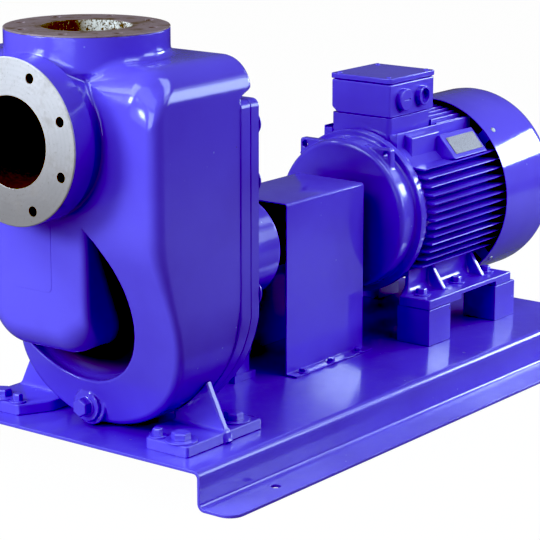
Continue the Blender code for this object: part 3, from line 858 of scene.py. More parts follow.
@dataclass
class BasePlate:
    """Folded sheet: level top, two side webs and two outward flanges."""

    finishes: Finishes
    length: tuple[float, float] = (SUCTION_X + 0.113, SUCTION_X + 1.428)
    web: float = 0.302
    flange: float = 0.376
    sheet: float = 0.006
    bend: float = 0.008

    def outline(self) -> Outline:
        """The folded section, all round."""
        inner, outer = self.bend, self.bend + self.sheet
        web_out, web_in = self.web + self.sheet / 2, self.web - self.sheet / 2
        top_bend = (web_in - inner, BASE_TOP - self.sheet - inner)
        low_bend = (web_out + inner, self.sheet + inner)
        over = arc(top_bend, outer, 90, 0, 12) + arc(low_bend, inner, 180, 270, 10)
        under = arc(low_bend, outer, 270, 180, 12) + arc(top_bend, inner, 0, 90, 10)
        half = over + [(self.flange, self.sheet), (self.flange, 0.0)] + under
        return half + [(-y, z) for y, z in reversed(half)]

    def build(self) -> None:
        """Makes the plate with its anchor holes and rounded corners."""
        shell = Shell().prism(self.outline(), Axis.X, *self.length)
        cutter = Shell()
        x0, x1 = self.length
        for side in (-1, 1):
            for x in (x0 + 0.168, x1 - 0.168):
                cutter.turned([(-0.01, 0.009), (0.02, 0.009)], Axis.Z, (x, side * 0.337), 32)
            for end, sign in ((x0, 1), (x1, -1)):
                corner = (end + sign * 0.028, side * (self.flange - 0.028))
                outline = [(end - sign * 0.01, side * (self.flange + 0.01))]
                outline += [(corner[0] - sign * 0.028 * math.sin(t), corner[1] + side * 0.028 * math.cos(t))
                            for t in (math.radians(9 * i) for i in range(11))]
                outline = [outline[0]] + [(outline[1][0], side * (self.flange + 0.01))] + outline[1:] + [
                    (end - sign * 0.01, outline[-1][1])]
                cutter.prism(outline, Axis.Z, -0.01, 0.02)
        make("base_plate_sheet", shell, self.finishes.base, nodes=("base_plate",), bevel=0.0012, cutter=cutter, smooth=35)


@dataclass
class Casing:
    """The cast pump casing with its two flanges, pouch, recess and drain."""

    finishes: Finishes
    panel: float = 0.077
    half: float = 0.248
    top: float = 0.127
    slope: float = 0.35
    slope_top: float = -0.170
    volute: float = 0.252
    flange: float = 0.1425
    bore: float = 0.078
    hole_circle: float = 0.120
    hole: float = 0.0088
    hole_depth: float = 0.030
    rim: float = 0.050
    pouch_near: float = 0.087
    pouch_far: float = 0.155
    pouch_low: float = -0.384
    drain: tuple[float, float] = (0.011, -0.503)
    step: float = 0.0042

    @staticmethod
    def _local(points: np.ndarray) -> tuple[np.ndarray, np.ndarray, np.ndarray]:
        """Coordinates from the centre of the suction flange."""
        return points[:, 0] - SUCTION_X, points[:, 1], points[:, 2] - SUCTION_Z

    def front(self, x: np.ndarray, z: np.ndarray) -> np.ndarray:
        """Distance to the front: upright above, sloping back below."""
        sloped = (self.panel + self.slope * (self.slope_top - z) - x) / math.hypot(1.0, self.slope)
        return soft_max(self.panel - x, sloped, 0.010)

    def body(self, x: np.ndarray, y: np.ndarray, z: np.ndarray) -> np.ndarray:
        """Distance to the tank and volute."""
        up = z - (SHAFT_Z - SUCTION_Z)
        forward = np.clip((0.281 - x) / 0.145, 0.0, 1.0)
        far = (y > 0) * ease(0.05 - z, 0.0, 0.337)
        half = self.half * (1.0 - 0.36 * forward * far)
        side = np.abs(y) - half
        level = z - self.top
        upper = np.maximum(both(side, level, 0.058), -up)
        angle = (np.degrees(np.arctan2(up, y)) - 90.0) % 360.0 + 90.0
        drawn = np.clip((angle - 275.0) / 50.0, 0.0, 1.0) ** 1.6
        radius = (self.half + (self.volute - self.half) * ease(-up, 0.0, 0.15)) * (1.0 - 0.36 * forward * drawn)
        around = np.minimum(upper, np.hypot(y, up) - radius)
        topness = ease(level - side, -0.08, 0.0)
        lowness = ease(-z, 0.15, 0.30)
        edge = 0.024 + 0.041 * topness - 0.011 * lowness
        shaped = both(around, self.front(x, z), edge)
        lip = ease(z, 0.058, 0.076)
        return both(shaped, x - (0.302 + 0.034 * lip), 0.004 + 0.009 * lip)

    def field(self, points: np.ndarray) -> np.ndarray:
        """Distance to the whole casting."""
        x, y, z = self._local(points)
        up = z - (SHAFT_Z - SUCTION_Z)
        form = self.body(x, y, z)
        across = np.where(y < 0, 1.08 * y, y)
        recess = both(np.hypot(across, up + 0.001) - 0.163, x - 0.207, 0.03)
        form = both(form, -recess, 0.004)
        form = np.minimum(form, self._pouch(x, y, z))
        neck = np.maximum(np.hypot(y, z) - (self.flange - 0.009), slab(x, self.rim - 0.004, 0.12))
        form = either(form, neck, 0.005)
        reach = self.flange - 0.8 * np.maximum(0.112 - z, 0.0)
        chimney = np.maximum(np.hypot(x - 0.192, y) - reach, slab(z, 0.03, 0.1725))
        form = either(form, chimney, 0.012)
        across = np.hypot(y - self.drain[0], z - self.drain[1])
        boss_front = self._boss_front()
        form = either(form, np.maximum(both(across - 0.0365, boss_front + 0.0085 - x, 0.003), x - 0.25), 0.003)
        form = either(form, np.maximum(both(across - 0.0290, boss_front - x, 0.002), x - 0.25), 0.0015)
        form = np.maximum(form, -np.maximum(np.hypot(y, z) - 0.0805, x - 0.20))
        form = np.maximum(form, -np.maximum(np.hypot(x - 0.192, y) - 0.0805, 0.085 - z))
        for a, b in self._bolt_circle():
            form = np.maximum(form, -np.maximum(np.hypot(x - 0.192 - a, y - b) - self.hole - 0.001, 0.143 - z))
        return form

    def _pouch(self, x: np.ndarray, y: np.ndarray, z: np.ndarray) -> np.ndarray:
        """Distance to the pouch: flush with the panel, upright near wall, well rounded below."""
        near, far, low = -y - self.pouch_near, y - self.pouch_far, self.pouch_low - z
        section = np.maximum(both(near, low, 0.070), both(far, low, 0.080))
        edge = 0.014 + 0.034 * ease(np.maximum(low, far) - near, -0.080, 0.0)
        solid = both(section, self.panel - x, edge)
        return np.maximum(np.maximum(solid, x - 0.22), z - 0.02)

    def _boss_front(self) -> float:
        """Where the boss of the drain plug ends."""
        return self.panel + self.slope * (self.slope_top - self.drain[1]) - 0.012

    def _bolt_circle(self) -> Outline:
        """Centres of a flange's holes, from its own centre."""
        turns = [math.tau * (i + 0.5) / 8 for i in range(8)]
        return [(self.hole_circle * math.cos(turn), self.hole_circle * math.sin(turn)) for turn in turns]

    def _face(self, name: str, axis: Axis, centre: tuple[float, float], at: float, inward: float,
              material: bpy.types.Material) -> None:
        """Makes the turned facing of one flange.

        Args:
            name: Name of the piece.
            axis: Axis of the flange.
            centre: The two other coordinates of its centre.
            at: Where the face is along the axis.
            inward: Sign of the way into the casting.
            material: Finish of the face.
        """
        edge = 0.0012
        thick = 0.0032
        profile = [(at, self.bore + 0.001), (at, self.flange - edge), (at + inward * edge, self.flange),
                   (at + inward * thick, self.flange), (at + inward * thick, self.bore), (at + inward * 0.001, self.bore)]
        shell = Shell().turned(profile, axis, centre, 128, around=True)
        cutter = Shell()
        for a, b in self._bolt_circle():
            cutter.turned([(at - 0.01, self.hole), (at + 0.01, self.hole)], axis, (centre[0] + a, centre[1] + b), 32)
        make(name, shell, material, cutter=cutter, bevel=0.0005, smooth=40, segments=2)

    def _hole_walls(self, name: str, axis: Axis, centre: tuple[float, float], at: float, inward: float) -> None:
        """Makes the walls and floors of one flange's blind holes, near black: painted shade."""
        r, end = self.hole, at + inward * self.hole_depth
        profile = [(at + inward * 0.0025, r), (end, r), (end, 0.001), (end + inward * 0.001, 0.001),
                   (end + inward * 0.001, r + 0.0008), (at + inward * 0.0025, r + 0.0008)]
        shell = Shell()
        for a, b in self._bolt_circle():
            shell.turned(profile, axis, (centre[0] + a, centre[1] + b), 32, around=True)
        make(name, shell, self.finishes.hole_shade)

    def _suction_rim(self) -> None:
        """Makes the painted rim of the suction flange, behind its turned face."""
        x0, x1, r = SUCTION_X + 0.0033, SUCTION_X + self.rim, self.flange
        profile = [(x0, self.bore + 0.001), (x0, r), (x1 - 0.0015, r), (x1, r - 0.0015), (x1, r - 0.030),
                   (x1 - 0.006, self.bore + 0.001)]
        cutter = Shell()
        for a, b in self._bolt_circle():
            cutter.turned([(x0 - 0.01, self.hole + 0.0007), (SUCTION_X + self.hole_depth, self.hole + 0.0007)], Axis.X,
                          (a, SUCTION_Z + b), 32)
        shell = Shell().turned(profile, Axis.X, (0.0, SUCTION_Z), 160, around=True)
        make("suction_flange_rim", shell, self.finishes.cast, cutter=cutter, smooth=40)

    def _pouch_pad(self) -> None:
        """Makes the low raised field on the front of the pouch."""
        outline = rounded([(0.080, SUCTION_Z - 0.272), (0.080, SUCTION_Z - 0.130), (-0.012, SUCTION_Z - 0.130),
                           (-0.012, SUCTION_Z - 0.272)], 0.010)
        x = SUCTION_X + self.panel
        make("pouch_raised_field", Shell().prism(outline, Axis.X, x - 0.0006, x + 0.004), self.finishes.cast, bevel=0.0005)

    def _lining(self, name: str, axis: Axis, centre: tuple[float, float], at: float, inward: float, depth: float,
                material: bpy.types.Material) -> None:
        """Makes the bare wall of one bore, closed at its inner end."""
        profile = [(at + inward * 0.0015, self.bore), (at + inward * (depth - 0.01), self.bore - 0.002),
                   (at + inward * depth, self.bore - 0.012), (at + inward * depth, 0.012),
                   (at + inward * (depth + 0.004), 0.012), (at + inward * (depth + 0.004), self.bore + 0.002),
                   (at + inward * 0.0015, self.bore + 0.002)]
        make(name, Shell().turned(profile, axis, centre, 96, around=True), material)

    def build(self) -> None:
        """Makes the casting, its turned faces, its bores and its drain plug."""
        finishes = self.finishes
        low = (SUCTION_X - 0.005, -0.262, BASE_TOP - 0.004)
        high = (SUCTION_X + 0.352, 0.262, DISCHARGE_Z + 0.006)
        step = self.step * 1.0
        CastForm(self.field, low, high, step).build("pump_casing_casting", finishes.casing, ("pump_casing",))
        self._face("suction_flange_face", Axis.X, (0.0, SUCTION_Z), SUCTION_X, 1.0, finishes.suction_face)
        self._face("discharge_flange_face", Axis.Z, (DISCHARGE_X, 0.0), DISCHARGE_Z, -1.0, finishes.discharge_face)
        self._lining("suction_bore_wall", Axis.X, (0.0, SUCTION_Z), SUCTION_X, 1.0, 0.185, finishes.bore)
        self._lining("discharge_bore_wall", Axis.Z, (DISCHARGE_X, 0.0), DISCHARGE_Z, -1.0, 0.085, finishes.bright_bore)
        self._suction_rim()
        self._pouch_pad()
        self._hole_walls("suction_flange_holes", Axis.X, (0.0, SUCTION_Z), SUCTION_X, 1.0)
        self._hole_walls("discharge_flange_holes", Axis.Z, (DISCHARGE_X, 0.0), DISCHARGE_Z, -1.0)
        self._plug()
        self._back_flange()

    def _plug(self) -> None:
        """Makes the drain plug: a hexagon head on a round collar."""
        x = SUCTION_X + self._boss_front()
        y, z = self.drain[0], SUCTION_Z + self.drain[1]
        shell = Shell().turned([(x - 0.0025, 0.0180), (x - 0.001, 0.0192), (x + 0.004, 0.0192)], Axis.X, (y, z), 48)
        rings = [(x - 0.018, 0.88), (x - 0.0155, 1.0), (x - 0.0005, 1.0)]
        shell.loft([[(at, y + b * share, z + a * share) for a, b in hexagon(0.030)] for at, share in rings])
        make("drain_plug_head", shell, self.finishes.cast, nodes=("drain_plug",), bevel=0.0012)

    def plate(self, grow: float = 0.0) -> Outline:
        """Outline of the bolted flange: level top, upright sides and a round bottom about the shaft."""
        half, radius, top, corner = 0.250 + grow, 0.2535 + grow, SUCTION_Z + 0.054 + grow, 0.014
        start = 180.0 + math.degrees(math.acos(half / radius))
        points = arc((half - corner, top - corner), corner, 0, 90, 6)
        points += arc((-half + corner, top - corner), corner, 90, 180, 6)
        return points + arc((0.0, SHAFT_Z), radius, start, 540.0 - start, 90)

    def _back_flange(self) -> None:
        """Makes the casing's own flange and the cover bolted to it."""
        flange = Shell().prism(self.plate(), Axis.X, SUCTION_X + 0.2985, SUCTION_X + 0.325)
        make("casing_flange", flange, self.finishes.cast, bevel=0.0025)
        cover = Shell().prism(self.plate(-0.0006), Axis.X, SUCTION_X + 0.3253, SUCTION_X + 0.350)
        make("rear_cover_plate", cover, self.finishes.cast, nodes=("rear_cover",), bevel=0.003)
        bolts = Shell()
        x = SUCTION_X + 0.350
        for angle in range(-205, 30, 26):
            turn = math.radians(angle)
            bolts.bolt(self._outward(x, 0.230 * math.cos(turn), SHAFT_Z + 0.230 * math.sin(turn)), 0.024, 0.014, 0.003)
        for y, z in ((-0.228, 0.52), (0.228, 0.52), (-0.228, 0.62), (0.228, 0.62), (-0.12, 0.645), (0.0, 0.645), (0.12, 0.645)):
            bolts.bolt(self._outward(x, y, z), 0.024, 0.014, 0.003)
        make("rear_cover_bolts", bolts, self.finishes.cast, bevel=0.0008)

    @staticmethod
    def _outward(x: float, y: float, z: float) -> Matrix:
        """A place on the back of the pump, facing the motor."""
        return Matrix.Translation((x, y, z)) @ Matrix.Rotation(math.pi / 2, 4, "Y")


@dataclass
class PumpFeet:
    """The two cast feet under the casing, each with a gusset, bolted to the base plate."""

    finishes: Finishes
    thick: float = 0.020
    front: float = 0.1545
    corner: tuple[float, float] = (0.155, 0.152)

    def field(self, points: np.ndarray, side: int) -> np.ndarray:
        """Distance to one foot."""
        x, y, z = points[:, 0] - SUCTION_X, points[:, 1] * side, points[:, 2]
        slant = (self.corner[0] - x) * 0.471 + (self.corner[1] - y) * 0.882
        plan = both(both(self.front - x, x - 0.363, 0.006), both(y - 0.244, 0.120 - y, 0.004), 0.006)
        plan = both(plan, slant, 0.004)
        low, high = BASE_TOP + TOUCH, BASE_TOP + TOUCH + self.thick
        plate = both(np.maximum(plan, low - z), z - high, 0.003)
        up = z - SHAFT_Z
        away = 0.2525 - np.hypot(y, up)
        edge = (y - 0.2435) * 0.9 + (z - high) * 0.436
        web = both(both(slab(x, 0.258, 0.272), edge, 0.003), z - 0.178, 0.003)
        web = np.maximum(np.maximum(web, away), np.maximum(low + 0.002 - z, 0.13 - y))
        return either(plate, web, 0.006)

    def build(self) -> None:
        """Makes both feet and their bolts."""
        bolts = Shell()
        for side, name in ((-1, "near"), (1, "far")):
            ys = sorted((side * 0.112, side * 0.252))
            form = CastForm(lambda p, s=side: self.field(p, s), (SUCTION_X + 0.145, ys[0], BASE_TOP - 0.004),
                            (SUCTION_X + 0.373, ys[1], 0.186), 0.0025)
            form.build("pump_foot_%s_casting" % name, self.finishes.cast, ("pump_foot_" + name,))
            for x, y, size in ((0.178, 0.212, 0.030), (0.323, 0.212, 0.030), (0.170, 0.166, 0.016)):
                place = Matrix.Translation((SUCTION_X + x, side * y, BASE_TOP + TOUCH + self.thick))
                bolts.bolt(place, size, 0.013, 0.003)
        make("pump_foot_bolts", bolts, self.finishes.cast, bevel=0.0008)


@dataclass
class Bracket:
    """Bearing bracket behind the casing, with its cover, screws and supporting leg."""

    finishes: Finishes
    start: float = SUCTION_X + 0.3503
    end: float = SUCTION_X + 0.622
    drum: float = 0.098

    def build(self) -> None:
        """Makes the bracket and its bolts."""
        s, e, r = self.start, self.end, self.drum
        fillet = arc((s + 0.052, r + 0.030), 0.030, 180, 270, 8)
        profile = [(s, 0.153), (s + 0.002, 0.155), (s + 0.020, 0.155), (s + 0.022, 0.153)] + fillet
        profile += [(s + 0.120, r), (s + 0.122, r + 0.003), (s + 0.140, r + 0.003), (s + 0.142, r), (e - 0.016, r)]
        profile += arc((e - 0.016, r - 0.008), 0.008, 90, 0, 5) + [(e - 0.008, 0.060), (e - 0.001, 0.058), (e - 0.001, 0.0215),
                                                                  (s, 0.0215)]
        make("bearing_bracket_casting", Shell().turned(profile, around=True), self.finishes.cast, nodes=("bearing_bracket",))
        bolts = Shell()
        for i in range(8):
            turn = math.tau * (i + 0.5) / 8
            place = (s + 0.022, 0.137 * math.cos(turn), SHAFT_Z + 0.137 * math.sin(turn))
            bolts.bolt(Casing._outward(*place), 0.019, 0.011, 0.0025)
        for i in range(6):
            turn = math.tau * i / 6
            place = (e - 0.008, 0.076 * math.cos(turn), SHAFT_Z + 0.076 * math.sin(turn))
            bolts.bolt(Casing._outward(*place), 0.010, 0.005)
        make("bracket_bolts", bolts, self.finishes.cast, bevel=0.0006)


@dataclass
class Guard:
    """Bent sheet guard over the coupling, open at both ends, screwed down by its lips."""

    finishes: Finishes
    length: tuple[float, float] = (SUCTION_X + 0.648, SUCTION_X + 0.900)
    half: float = 0.083
    top: float = SUCTION_Z - 0.205
    sheet: float = 0.003
    lip: float = 0.024

    def build(self) -> None:
        """Makes the guard and its screws."""
        foot = BASE_TOP + TOUCH
        bend = 0.006
        outer = [(self.half + self.lip, foot), (self.half + self.lip, foot + self.sheet)]
        outer += arc((self.half + 0.003, foot + self.sheet + 0.003), 0.003, 270, 180, 4)
        outer += arc((self.half - bend, self.top - bend), bend, 0, 90, 6)
        inner = arc((self.half - bend, self.top - bend), bend - self.sheet, 90, 0, 6) + [(self.half - self.sheet, foot)]
        outline = outer + [(-y, z) for y, z in reversed(outer)] + [(-y, z) for y, z in reversed(inner)] + inner
        make("coupling_guard_sheet", Shell().prism(outline, Axis.X, *self.length), self.finishes.sheet,
             nodes=("coupling_guard",), bevel=0.0008, smooth=40)
        screws = Shell()
        for side in (-1, 1):
            for x in (self.length[0] + 0.035, self.length[1] - 0.035, sum(self.length) / 2):
                place = Matrix.Translation((x, side * (self.half + 0.014), foot + self.sheet))
                screws.bolt(place, 0.013, 0.006, 0.0015)
        make("guard_screws", screws, self.finishes.sheet, bevel=0.0005)


@dataclass
class Motor:
    """Ribbed electric motor: end shields, frame, feet, pedestals, cowl and terminal box."""

    finishes: Finishes
    shield: tuple[float, float] = (SUCTION_X + 0.935, SUCTION_X + 1.000)
    frame: tuple[float, float] = (SUCTION_X + 1.0003, SUCTION_X + 1.275)
    barrel: float = 0.160
    fin: float = 0.183
    cowl: tuple[float, float] = (SUCTION_X + 1.258, SUCTION_X + 1.465)
    cowl_radius: float = 0.194
    foot_z: float = SHAFT_Z - 0.180
    box_x: tuple[float, float] = (SUCTION_X + 1.003, SUCTION_X + 1.161)
    box_z: tuple[float, float] = (SUCTION_Z - 0.094, SUCTION_Z - 0.026)
    box_half: float = 0.072
    seat_half: float = 0.0722
    plate_turn: float = 42.1
    plate_reach: float = 0.1852

    def build(self) -> None:
        """Makes the motor's pieces in order."""
        self._front_shield()
        self._frame()
        self._feet()
        self._pedestals()
        self._terminal_box()
        self._rating_plate()
        self._cowl()

    def _shield_field(self, points: np.ndarray) -> np.ndarray:
        """Distance to the front end shield."""
        x, y, z = points[:, 0] - self.shield[0], points[:, 1], points[:, 2] - SHAFT_Z
        r = np.hypot(y, z)
        dome = both(r - 0.152, -x, 0.011)
        ring = both(r - 0.166, slab(x, 0.047, 0.0645), 0.002)
        form = either(np.maximum(dome, x - 0.0645), ring, 0.004)
        lug = both(both(np.abs(y) - 0.111, z - 0.144, 0.006), slab(x, 0.015, 0.031), 0.003)
        lug = np.maximum(lug, 0.080 - z)
        form = either(form, np.maximum(lug, 0.050 - np.abs(y)), 0.004)
        hole = np.hypot(np.abs(y) - 0.099, z - 0.131) - 0.006
        form = np.maximum(form, -np.maximum(hole, x - 0.036))
        return np.maximum(form, -(r - 0.026))

    def _front_shield(self) -> None:
        """Makes the front end shield with its lugs and screws."""
        x0 = self.shield[0]
        form = CastForm(self._shield_field, (x0 - 0.006, -0.194, SHAFT_Z - 0.194), (x0 + 0.072, 0.194, SHAFT_Z + 0.194), 0.003)
        form.build("motor_shield_casting", self.finishes.motor, ("motor_shield_front",))
        screws = Shell()
        for i in range(3):
            turn = math.tau * (i + 0.25) / 3
            place = Matrix.Translation((x0, 0.046 * math.cos(turn), SHAFT_Z + 0.046 * math.sin(turn)))
            screws.bolt(place @ Matrix.Rotation(-math.pi / 2, 4, "Y"), 0.010, 0.005)
        make("motor_shield_screws", screws, self.finishes.motor, bevel=0.0006)

    def _fin_section(self) -> Outline:
        """Section of the barrel with level fins at its sides."""
        side: Outline = []
        for i in range(13):
            z = -0.101 + i * 0.0166
            reach = math.sqrt(self.fin ** 2 - z ** 2)
            root = math.sqrt(self.barrel ** 2 - z ** 2) - 0.004
            side += [(root, z - 0.0040), (root + 0.004, z - 0.0030), (reach - 0.002, z - 0.0019)]
            side += arc((reach - 0.0019, z), 0.0019, -60, 60, 3)
            side += [(reach - 0.002, z + 0.0019), (root + 0.004, z + 0.0030), (root, z + 0.0040)]
        points = side + arc((0.0, 0.0), self.barrel, 52, 128, 24)
        points += [(-y, z) for y, z in reversed(side)] + arc((0.0, 0.0), self.barrel, 236, 304, 24)
        return [(y, SHAFT_Z + z) for y, z in points]

    def _frame(self) -> None:
        """Makes the ribbed frame, its top fins, the seat of the terminal box and the pads beside it."""
        x0, x1 = self.frame
        start = SUCTION_X + 1.008
        barrel = Shell().prism(self._fin_section(), Axis.X, start, x1)
        ring = [(x0, 0.1595), (x0 + 0.001, 0.1615), (start + 0.003, 0.1615), (start + 0.006, 0.159)]
        make("motor_frame_ribs", barrel.turned(ring, count=128), self.finishes.motor, nodes=("motor_frame",), smooth=40)
        fins = Shell()
        for i in range(13):
            self._top_fin(fins, (i - 6) * 0.0135, math.sqrt(self.fin ** 2 - ((i - 6) * 0.0135) ** 2), SUCTION_X + 1.156)
        for side in (-1, 1):
            self._top_fin(fins, side * 0.0881, 0.164, SUCTION_X + 1.004)
        make("motor_top_fins", fins, self.finishes.motor)
        half = self.seat_half
        outline = rounded([(SUCTION_X + 1.003, -half), (SUCTION_X + 1.150, -half), (SUCTION_X + 1.150, half),
                           (SUCTION_X + 1.003, half)], 0.010, 6)
        seat = Shell().prism(outline, Axis.Z, SHAFT_Z + 0.12, self.box_z[0])
        make("terminal_box_seat", seat, self.finishes.motor, nodes=("terminal_neck",), bevel=0.001)
        pads = Shell()
        for side in (-1, 1):
            inner = sorted((side * 0.070, side * 0.0885))
            pads.block((SUCTION_X + 1.0045, SUCTION_X + 1.022), inner, (SHAFT_Z + 0.1215, SHAFT_Z + 0.160))
            outer = [(side * 0.0870, 0.1600), (side * 0.1045, 0.1565), (side * 0.108, 0.1530), (side * 0.108, 0.112),
                     (side * 0.0870, 0.120)]
            pads.prism([(y, SHAFT_Z + z) for y, z in outer], Axis.X, SUCTION_X + 1.030, SUCTION_X + 1.128)
        make("frame_side_pads", pads, self.finishes.motor, bevel=0.0015)
        slant = [self._on_plate(0.0335), self._on_plate(-0.0274), (-0.118, SHAFT_Z + 0.096), (-0.083, SHAFT_Z + 0.120)]
        pad = Shell().prism(slant, Axis.X, SUCTION_X + 1.118, SUCTION_X + 1.238)
        make("rating_plate_pad", pad, self.finishes.motor, bevel=0.002)

    @staticmethod
    def _top_fin(shell: Shell, y: float, height: float, start: float) -> None:
        """Adds one upright fin.

        Args:
            shell: Where the fin goes.
            y: Its place across.
            height: Its top above the shaft.
            start: Where it starts along X.
        """
        top = SHAFT_Z + height
        section = [(y - 0.0028, SHAFT_Z + 0.112), (y - 0.0015, top - 0.0015)] + arc((y, top - 0.0015), 0.0015, 150, 30, 4)
        section += [(y + 0.0015, top - 0.0015), (y + 0.0028, SHAFT_Z + 0.112)]
        shell.prism(section, Axis.X, start, SUCTION_X + 1.275)

    def _on_plate(self, along: float) -> tuple[float, float]:
        """A point of the rating plate's pad, from its place up the slant."""
        turn = math.radians(self.plate_turn)
        y = along * math.sin(turn) - self.plate_reach * math.cos(turn)
        return y, SHAFT_Z + self.plate_reach * math.sin(turn) + along * math.cos(turn)

    def _foot_field(self, points: np.ndarray, side: int) -> np.ndarray:
        """Distance to one motor foot."""
        x, y, z = points[:, 0] - SUCTION_X, points[:, 1] * side, points[:, 2]
        top = self.foot_z + 0.020
        plate = both(both(slab(x, 0.985, 1.294), slab(y, 0.112, 0.186), 0.003), z - top, 0.0025)
        plate = np.maximum(plate, self.foot_z - z)
        gap = np.maximum(slab(x, 1.103, 1.235), z - self.foot_z - 0.010)
        plate = np.maximum(plate, -gap)
        up = z - SHAFT_Z
        away = 0.1605 - np.hypot(y, up)
        wall = np.maximum(both(slab(x, 1.0045, 1.228), slab(y, 0.1125, 0.1215), 0.002), np.maximum(away, top - 0.004 - z))
        form = either(plate, np.maximum(wall, up + 0.1085), 0.020)
        for start in (1.075, 1.220):
            edge = (y - 0.1613) * 0.823 + (z - top) * 0.568
            web = both(slab(x, start, start + 0.012), edge, 0.002)
            web = np.maximum(np.maximum(web, away), np.maximum(top - 0.004 - z, 0.114 - y))
            form = either(form, web, 0.004)
        return np.maximum(form, up + 0.1055)

    def _feet(self) -> None:
        """Makes both motor feet and their bolts."""
        bolts = Shell()
        for side, name in ((-1, "near"), (1, "far")):
            ys = sorted((side * 0.104, side * 0.192))
            form = CastForm(lambda p, s=side: self._foot_field(p, s), (SUCTION_X + 0.978, ys[0], self.foot_z - 0.005),
                            (SUCTION_X + 1.302, ys[1], SHAFT_Z - 0.08), 0.0025)
            form.build("motor_foot_%s_casting" % name, self.finishes.motor, ("motor_foot_" + name,))
            for x in (1.022, 1.150, 1.262):
                place = Matrix.Translation((SUCTION_X + x, side * 0.142, self.foot_z + 0.020))
                bolts.bolt(place, 0.019, 0.010, 0.0025)
        make("motor_foot_bolts", bolts, self.finishes.motor, bevel=0.0008)

    def _pedestals(self) -> None:
        """Makes the four blocks under the motor feet."""
        number = 1
        for low, high in ((0.985, 1.0635), (1.233, 1.309)):
            for side in (-1, 1):
                ys = sorted((side * 0.108, side * 0.186))
                shell = Shell().block((SUCTION_X + low, SUCTION_X + high), ys, (BASE_TOP + TOUCH, self.foot_z - TOUCH))
                make("pedestal_block_%d" % number, shell, self.finishes.sheet, nodes=("pedestal_%d" % number,), bevel=0.0015)
                number += 1

    def _terminal_box(self) -> None:
        """Makes the terminal box, its lid with screws, the blank plug and the cable entry."""
        (x0, x1), (z0, z1), half = self.box_x, self.box_z, self.box_half
        section = [(-half, z0), (half - 0.014, z0), (half, z0 + 0.011), (half, z1), (-half, z1)]
        make("terminal_box_body", Shell().prism(section, Axis.X, x0, x1), self.finishes.motor, nodes=("terminal_box",),
             bevel=0.004)
        wide = rounded([(x0 - 0.002, -half - 0.002), (x1 + 0.002, -half - 0.002), (x1 + 0.002, half + 0.002), (x0 - 0.002, half + 0.002)], 0.007)
        make("terminal_box_lid", Shell().prism(wide, Axis.Z, z1 + 0.0012, z1 + 0.012), self.finishes.motor,
             nodes=("terminal_lid",), bevel=0.002)
        screws = Shell()
        for x in (x0 + 0.012, x1 - 0.012):
            for y in (-half + 0.012, half - 0.012):
                screws.turned([(z1 + 0.0115, 0.0052), (z1 + 0.013, 0.0050), (z1 + 0.0142, 0.0035)], Axis.Z, (x, y), 24)
        make("terminal_box_screws", screws, self.finishes.motor, bevel=0.0003)
        z = z0 + 0.034
        for name, node, x, radius in (("blank_plug_head", "blank_plug", x0 + 0.045, 0.022),
                                      ("cable_entry_boss", "cable_entry", x0 + 0.110, 0.020)):
            profile = [(-half - 0.0115, radius - 0.0015), (-half - 0.010, radius), (-half + 0.001, radius)]
            shell = Shell().turned(profile, Axis.Y, (x, z), 48)
            if node == "cable_entry":
                cutter = Shell().turned([(-half - 0.02, 0.0145), (-half - 0.001, 0.0145)], Axis.Y, (x, z), 48)
            else:
                cutter = Shell().block((x - 0.012, x + 0.012), (-half - 0.02, -half - 0.0095), (z - 0.0015, z + 0.0015))
            make(name, shell, self.finishes.motor, nodes=(node,), bevel=0.0006, cutter=cutter)

    def _rating_plate(self) -> None:
        """Makes the bare rating plate with its four rivets."""
        tilt = Matrix.Rotation(math.radians(90.0 - self.plate_turn), 4, "X")
        lift = Matrix.Translation((SUCTION_X + 1.180, 0.0, SHAFT_Z)) @ tilt
        lift = lift @ Matrix.Translation((0.0, 0.0027, self.plate_reach + TOUCH))
        outline = rounded([(-0.050, -0.0200), (0.050, -0.0200), (0.050, 0.0200), (-0.050, 0.0200)], 0.002)
        shell = Shell().prism(outline, Axis.Z, 0.0, 0.0012, lift)
        for x in (-0.046, 0.046):
            for y in (-0.0165, 0.0165):
                shell.turned([(0.001, 0.0022), (0.0018, 0.0018), (0.0022, 0.001)], Axis.Z, (x, y), 16, place=lift)
        make("rating_plate_bare", shell, self.finishes.plate, nodes=("rating_plate",), bevel=0.0002)

    def _cowl(self) -> None:
        """Makes the fan cowl, its screws and its slotted end."""
        x0, x1 = self.cowl
        r = self.cowl_radius
        outside = [(x0, r - 0.0004), (x0 + 0.0004, r), (x1 - 0.045, r)]
        outside += [(x1 - 0.045 + 0.041 * math.sin(t), r - 0.040 + 0.040 * math.cos(t)) for t in (math.radians(9 * i) for i in range(1, 11))]
        inside = [(x - 0.0018 if x > x0 + 0.01 else x, rr - 0.0018) for x, rr in reversed(outside)]
        end = [(x1 - 0.002, 0.150), (x1 - 0.004, 0.150)]
        make("fan_cowl_sheet", Shell().turned(outside + end + inside, around=True, count=160), self.finishes.sheet,
             nodes=("fan_cowl",), smooth=40)
        grille = Shell()
        for radius in (0.150, 0.126, 0.103, 0.080, 0.057, 0.034):
            profile = [(x1 - 0.004, radius), (x1 - 0.001, radius - 0.001), (x1 - 0.001, radius - 0.010), (x1 - 0.004, radius - 0.011)]
            grille.turned(profile, around=True, count=96)
        for i in range(4):
            turn = Matrix.Translation((0.0, 0.0, SHAFT_Z)) @ Matrix.Rotation(math.pi * (i + 0.5) / 4, 4, "X")
            grille.block((x1 - 0.0045, x1 - 0.0005), (-0.005, 0.005), (-0.148, 0.148), turn)
        make("cowl_grille_bars", grille, self.finishes.sheet, nodes=("cowl_grille",), bevel=0.0006)
        screws = Shell()
        for i in range(4):
            turn = Matrix.Translation((x0 + 0.030, 0.0, SHAFT_Z)) @ Matrix.Rotation(math.tau * (i + 0.5) / 4, 4, "X")
